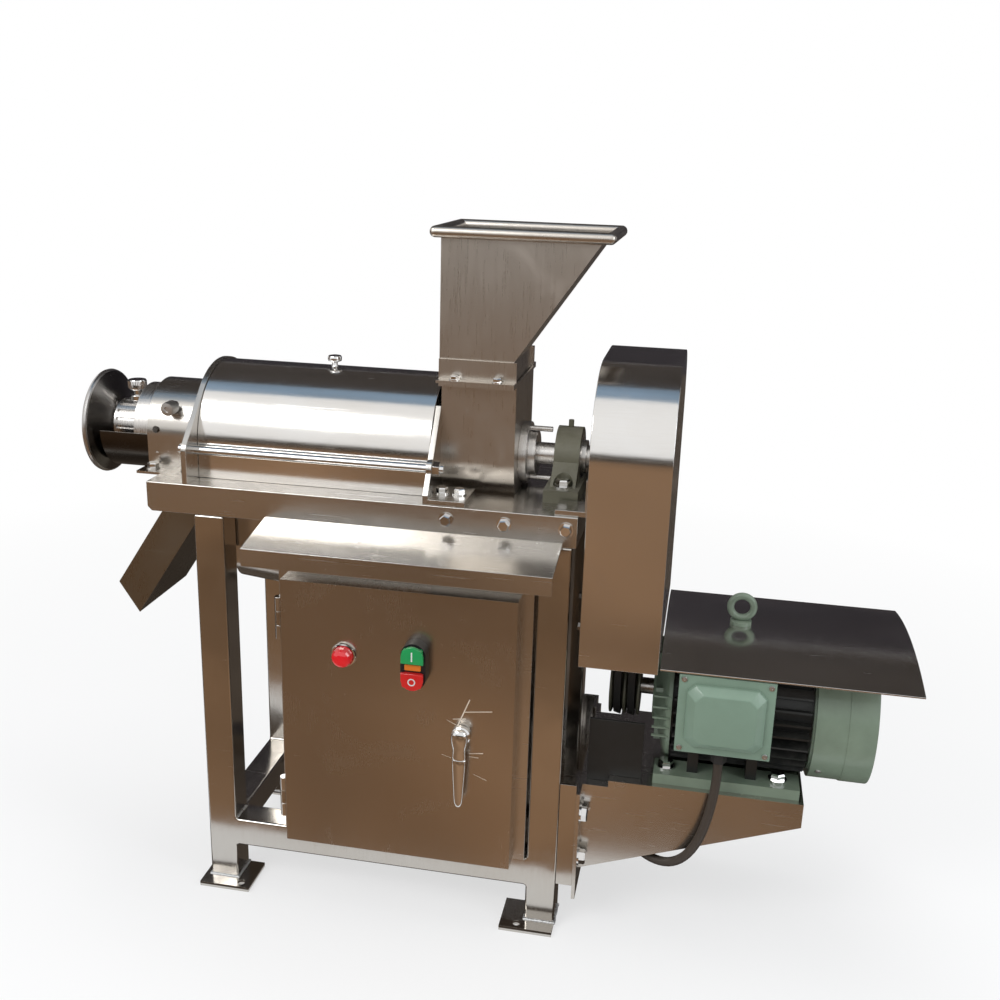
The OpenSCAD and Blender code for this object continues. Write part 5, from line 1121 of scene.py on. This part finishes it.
# %% Geometry Nodes: V-belts
def belt_tree():
    tree, given, out = new_geometry("v_belt", 1, {
        "Top Width": 0.0125, "Bottom Width": 0.0085, "Depth": 0.008})
    path = geo("MeshToCurve", {"Mesh": given["Geometry"]})
    steady = geo("SetCurveNormal", {"Curve": path}, mode="Z_UP")
    half_depth = times(given["Depth"], 0.5)
    section = add(tree, "GeometryNodeCurvePrimitiveQuadrilateral", mode="POINTS")
    corners = (("Top Width", 1, 1), ("Top Width", 1, -1),
               ("Bottom Width", -1, -1), ("Bottom Width", -1, 1))
    for k, (width, edge, sign) in enumerate(corners):
        corner = {"X": times(half_depth, edge), "Y": times(given[width], 0.5 * sign)}
        fill(section, {"Point %d" % (k + 1): after("ShaderNodeCombineXYZ", corner)[0]})
    swept = geo("CurveToMesh", {"Curve": steady, "Profile Curve": section.outputs[0]})
    return finish_tree(tree, given, out, swept)


def belt_route(x, top, big, bottom, small, steps=48):
    """Points of the belt's middle line round two wheels in the YZ plane, as touching arcs."""
    lean = math.asin((big - small) / (top - bottom))
    rows = []
    for centre, radius, start, sweep in ((top, big, -lean, math.pi + 2 * lean),
                                         (bottom, small, math.pi + lean, math.pi - 2 * lean)):
        for k in range(steps + 1):
            t = start + sweep * k / steps
            rows.append(((x, radius * math.cos(t), centre + radius * math.sin(t)),))
    return rows


BELT_TREE = belt_tree()
BELT_BACK = 0.0043  # from the belt's back to its middle line
belt_low, belt_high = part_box("drive_belts")
reach = (belt_high.z - AXIS_Z) - BELT_BACK
small_reach = (MOTOR_Z - belt_low.z) - BELT_BACK
belts = []
for x in (0.264, 0.280):
    rows = belt_route(x, AXIS_Z, reach, MOTOR_Z, small_reach)
    links = [(k, (k + 1) % len(rows)) for k in range(len(rows))]
    belts.append(run_tree("belt", BELT_TREE, "black_rubber", rows, links))
dress("v_belts", belts, "drive_belts")
print("large pulley's pitch line", round(2 * math.pi * reach, 3), "m")

# %% [markdown]
# The frame is welded, and a weld is a row of small overlapping scales. A tree walks along a
# path, drops a bead at each step, and makes each one a little larger or smaller from a fixed
# seed. It is used where the legs meet their foot plates and where the rails meet the legs.

# %% Geometry Nodes: weld beads
def weld_tree():
    tree, given, out = new_geometry("weld_bead", 11, {
        "Pitch": 0.0016, "Radius": 0.0017, "Uneven": 0.25})
    path = geo("MeshToCurve", {"Mesh": given["Geometry"]})
    steps = geo("ResampleCurve", {"Curve": path, "Length": given["Pitch"]}, mode="LENGTH")
    scale = geo("MeshIcoSphere", {"Radius": given["Radius"], "Subdivisions": 2})
    vary = add(tree, "FunctionNodeRandomValue", {
        "Seed": given["Seed"], 2: minus(1.0, given["Uneven"]),
        3: plus(1.0, given["Uneven"])}, data_type="FLOAT").outputs[1]
    points = geo("CurveToPoints", {"Curve": steps}, mode="EVALUATED")
    return finish_tree(tree, given, out, copies(points, scale, Scale=vary))


TUBE_X, TUBE_Y, HALF_TUBE = 0.195, 0.0975, 0.0175
RAIL_EDGES, HALF_SEAM = (0.052, 0.087), 0.012
PLATE_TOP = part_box("foot_plates")[1].z
CORNERS = ((-1, -1), (1, -1), (1, 1), (-1, 1))
seams = []
for x in (-TUBE_X, TUBE_X):
    for y in (-TUBE_Y, TUBE_Y):
        feet = [(x + a * HALF_TUBE, y + b * HALF_TUBE, PLATE_TOP) for a, b in CORNERS]
        seams.extend(zip(feet, feet[1:] + feet[:1]))
        inner = x - math.copysign(HALF_TUBE, x)
        seams.extend(((inner, y - HALF_SEAM, z), (inner, y + HALF_SEAM, z)) for z in RAIL_EDGES)
rows = [(end,) for seam in seams for end in seam]
links = [(k, k + 1) for k in range(0, len(rows), 2)]
put("weld_beads", run_tree("welds", weld_tree(), "zinc_plate", rows, links), "stand", "frame_tube")
print("weld lines", len(seams))

# %% [markdown]
# Small dark socket screws hold the discharge housing, and a pair of bolts shows on the guard's
# left edge. They use the bolt tree again with other sizes, which is what its inputs are for.

# %% Small screws
HOUSING_RADIUS = 0.0575
SMALL = {"Head Radius": 0.0034, "Head Height": 0.0026,
         "Washer Radius": 0.0042, "Washer Height": 0.0006}
rows = []
for x in (-0.281, -0.236):
    for t in map(math.radians, (-20, 8)):
        y, z = -math.cos(t), math.sin(t)
        rows.append(((x, HOUSING_RADIUS * y, AXIS_Z + HOUSING_RADIUS * z), (0, y, z)))
guard_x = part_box("belt_guard")[0].x
rows += [((guard_x, -0.118, z), (-1, 0, 0), 1.35) for z in (0.385, 0.420)]
small_screws = run_tree("small_screws", BOLT_TREE, "dark_steel", rows, **SMALL)
put("small_screws", small_screws, "stand", "dark_steel")
print("small screws", len(rows))

# %% [markdown]
# Every node that has no special piece of its own gets its worked copy here, with the finish of
# its material slot. A CAD node is never left showing its raw triangles.

# %% Dress the remaining nodes
FINISH_OF = {"drip_shield": "black_steel", "pulley_plate": "black_paint",
             "pomace_chute": "chute_steel"}
for node in sorted(NODES):
    if node not in HANDLED:
        worked(node, FINISH_OF.get(node))

# %% [markdown]
# The last cell measures the box of the dressed model and prints it, with the heaviest pieces.

# %% Measure and finish
low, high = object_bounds()
print("visual box", [round(v, 4) for v in low], [round(v, 4) for v in high])
heavy = sorted(((len(o.data.polygons), o.name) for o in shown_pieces() if o.type == "MESH"),
               reverse=True)
print("heaviest", heavy[:5], "all", sum(n for n, _ in heavy))
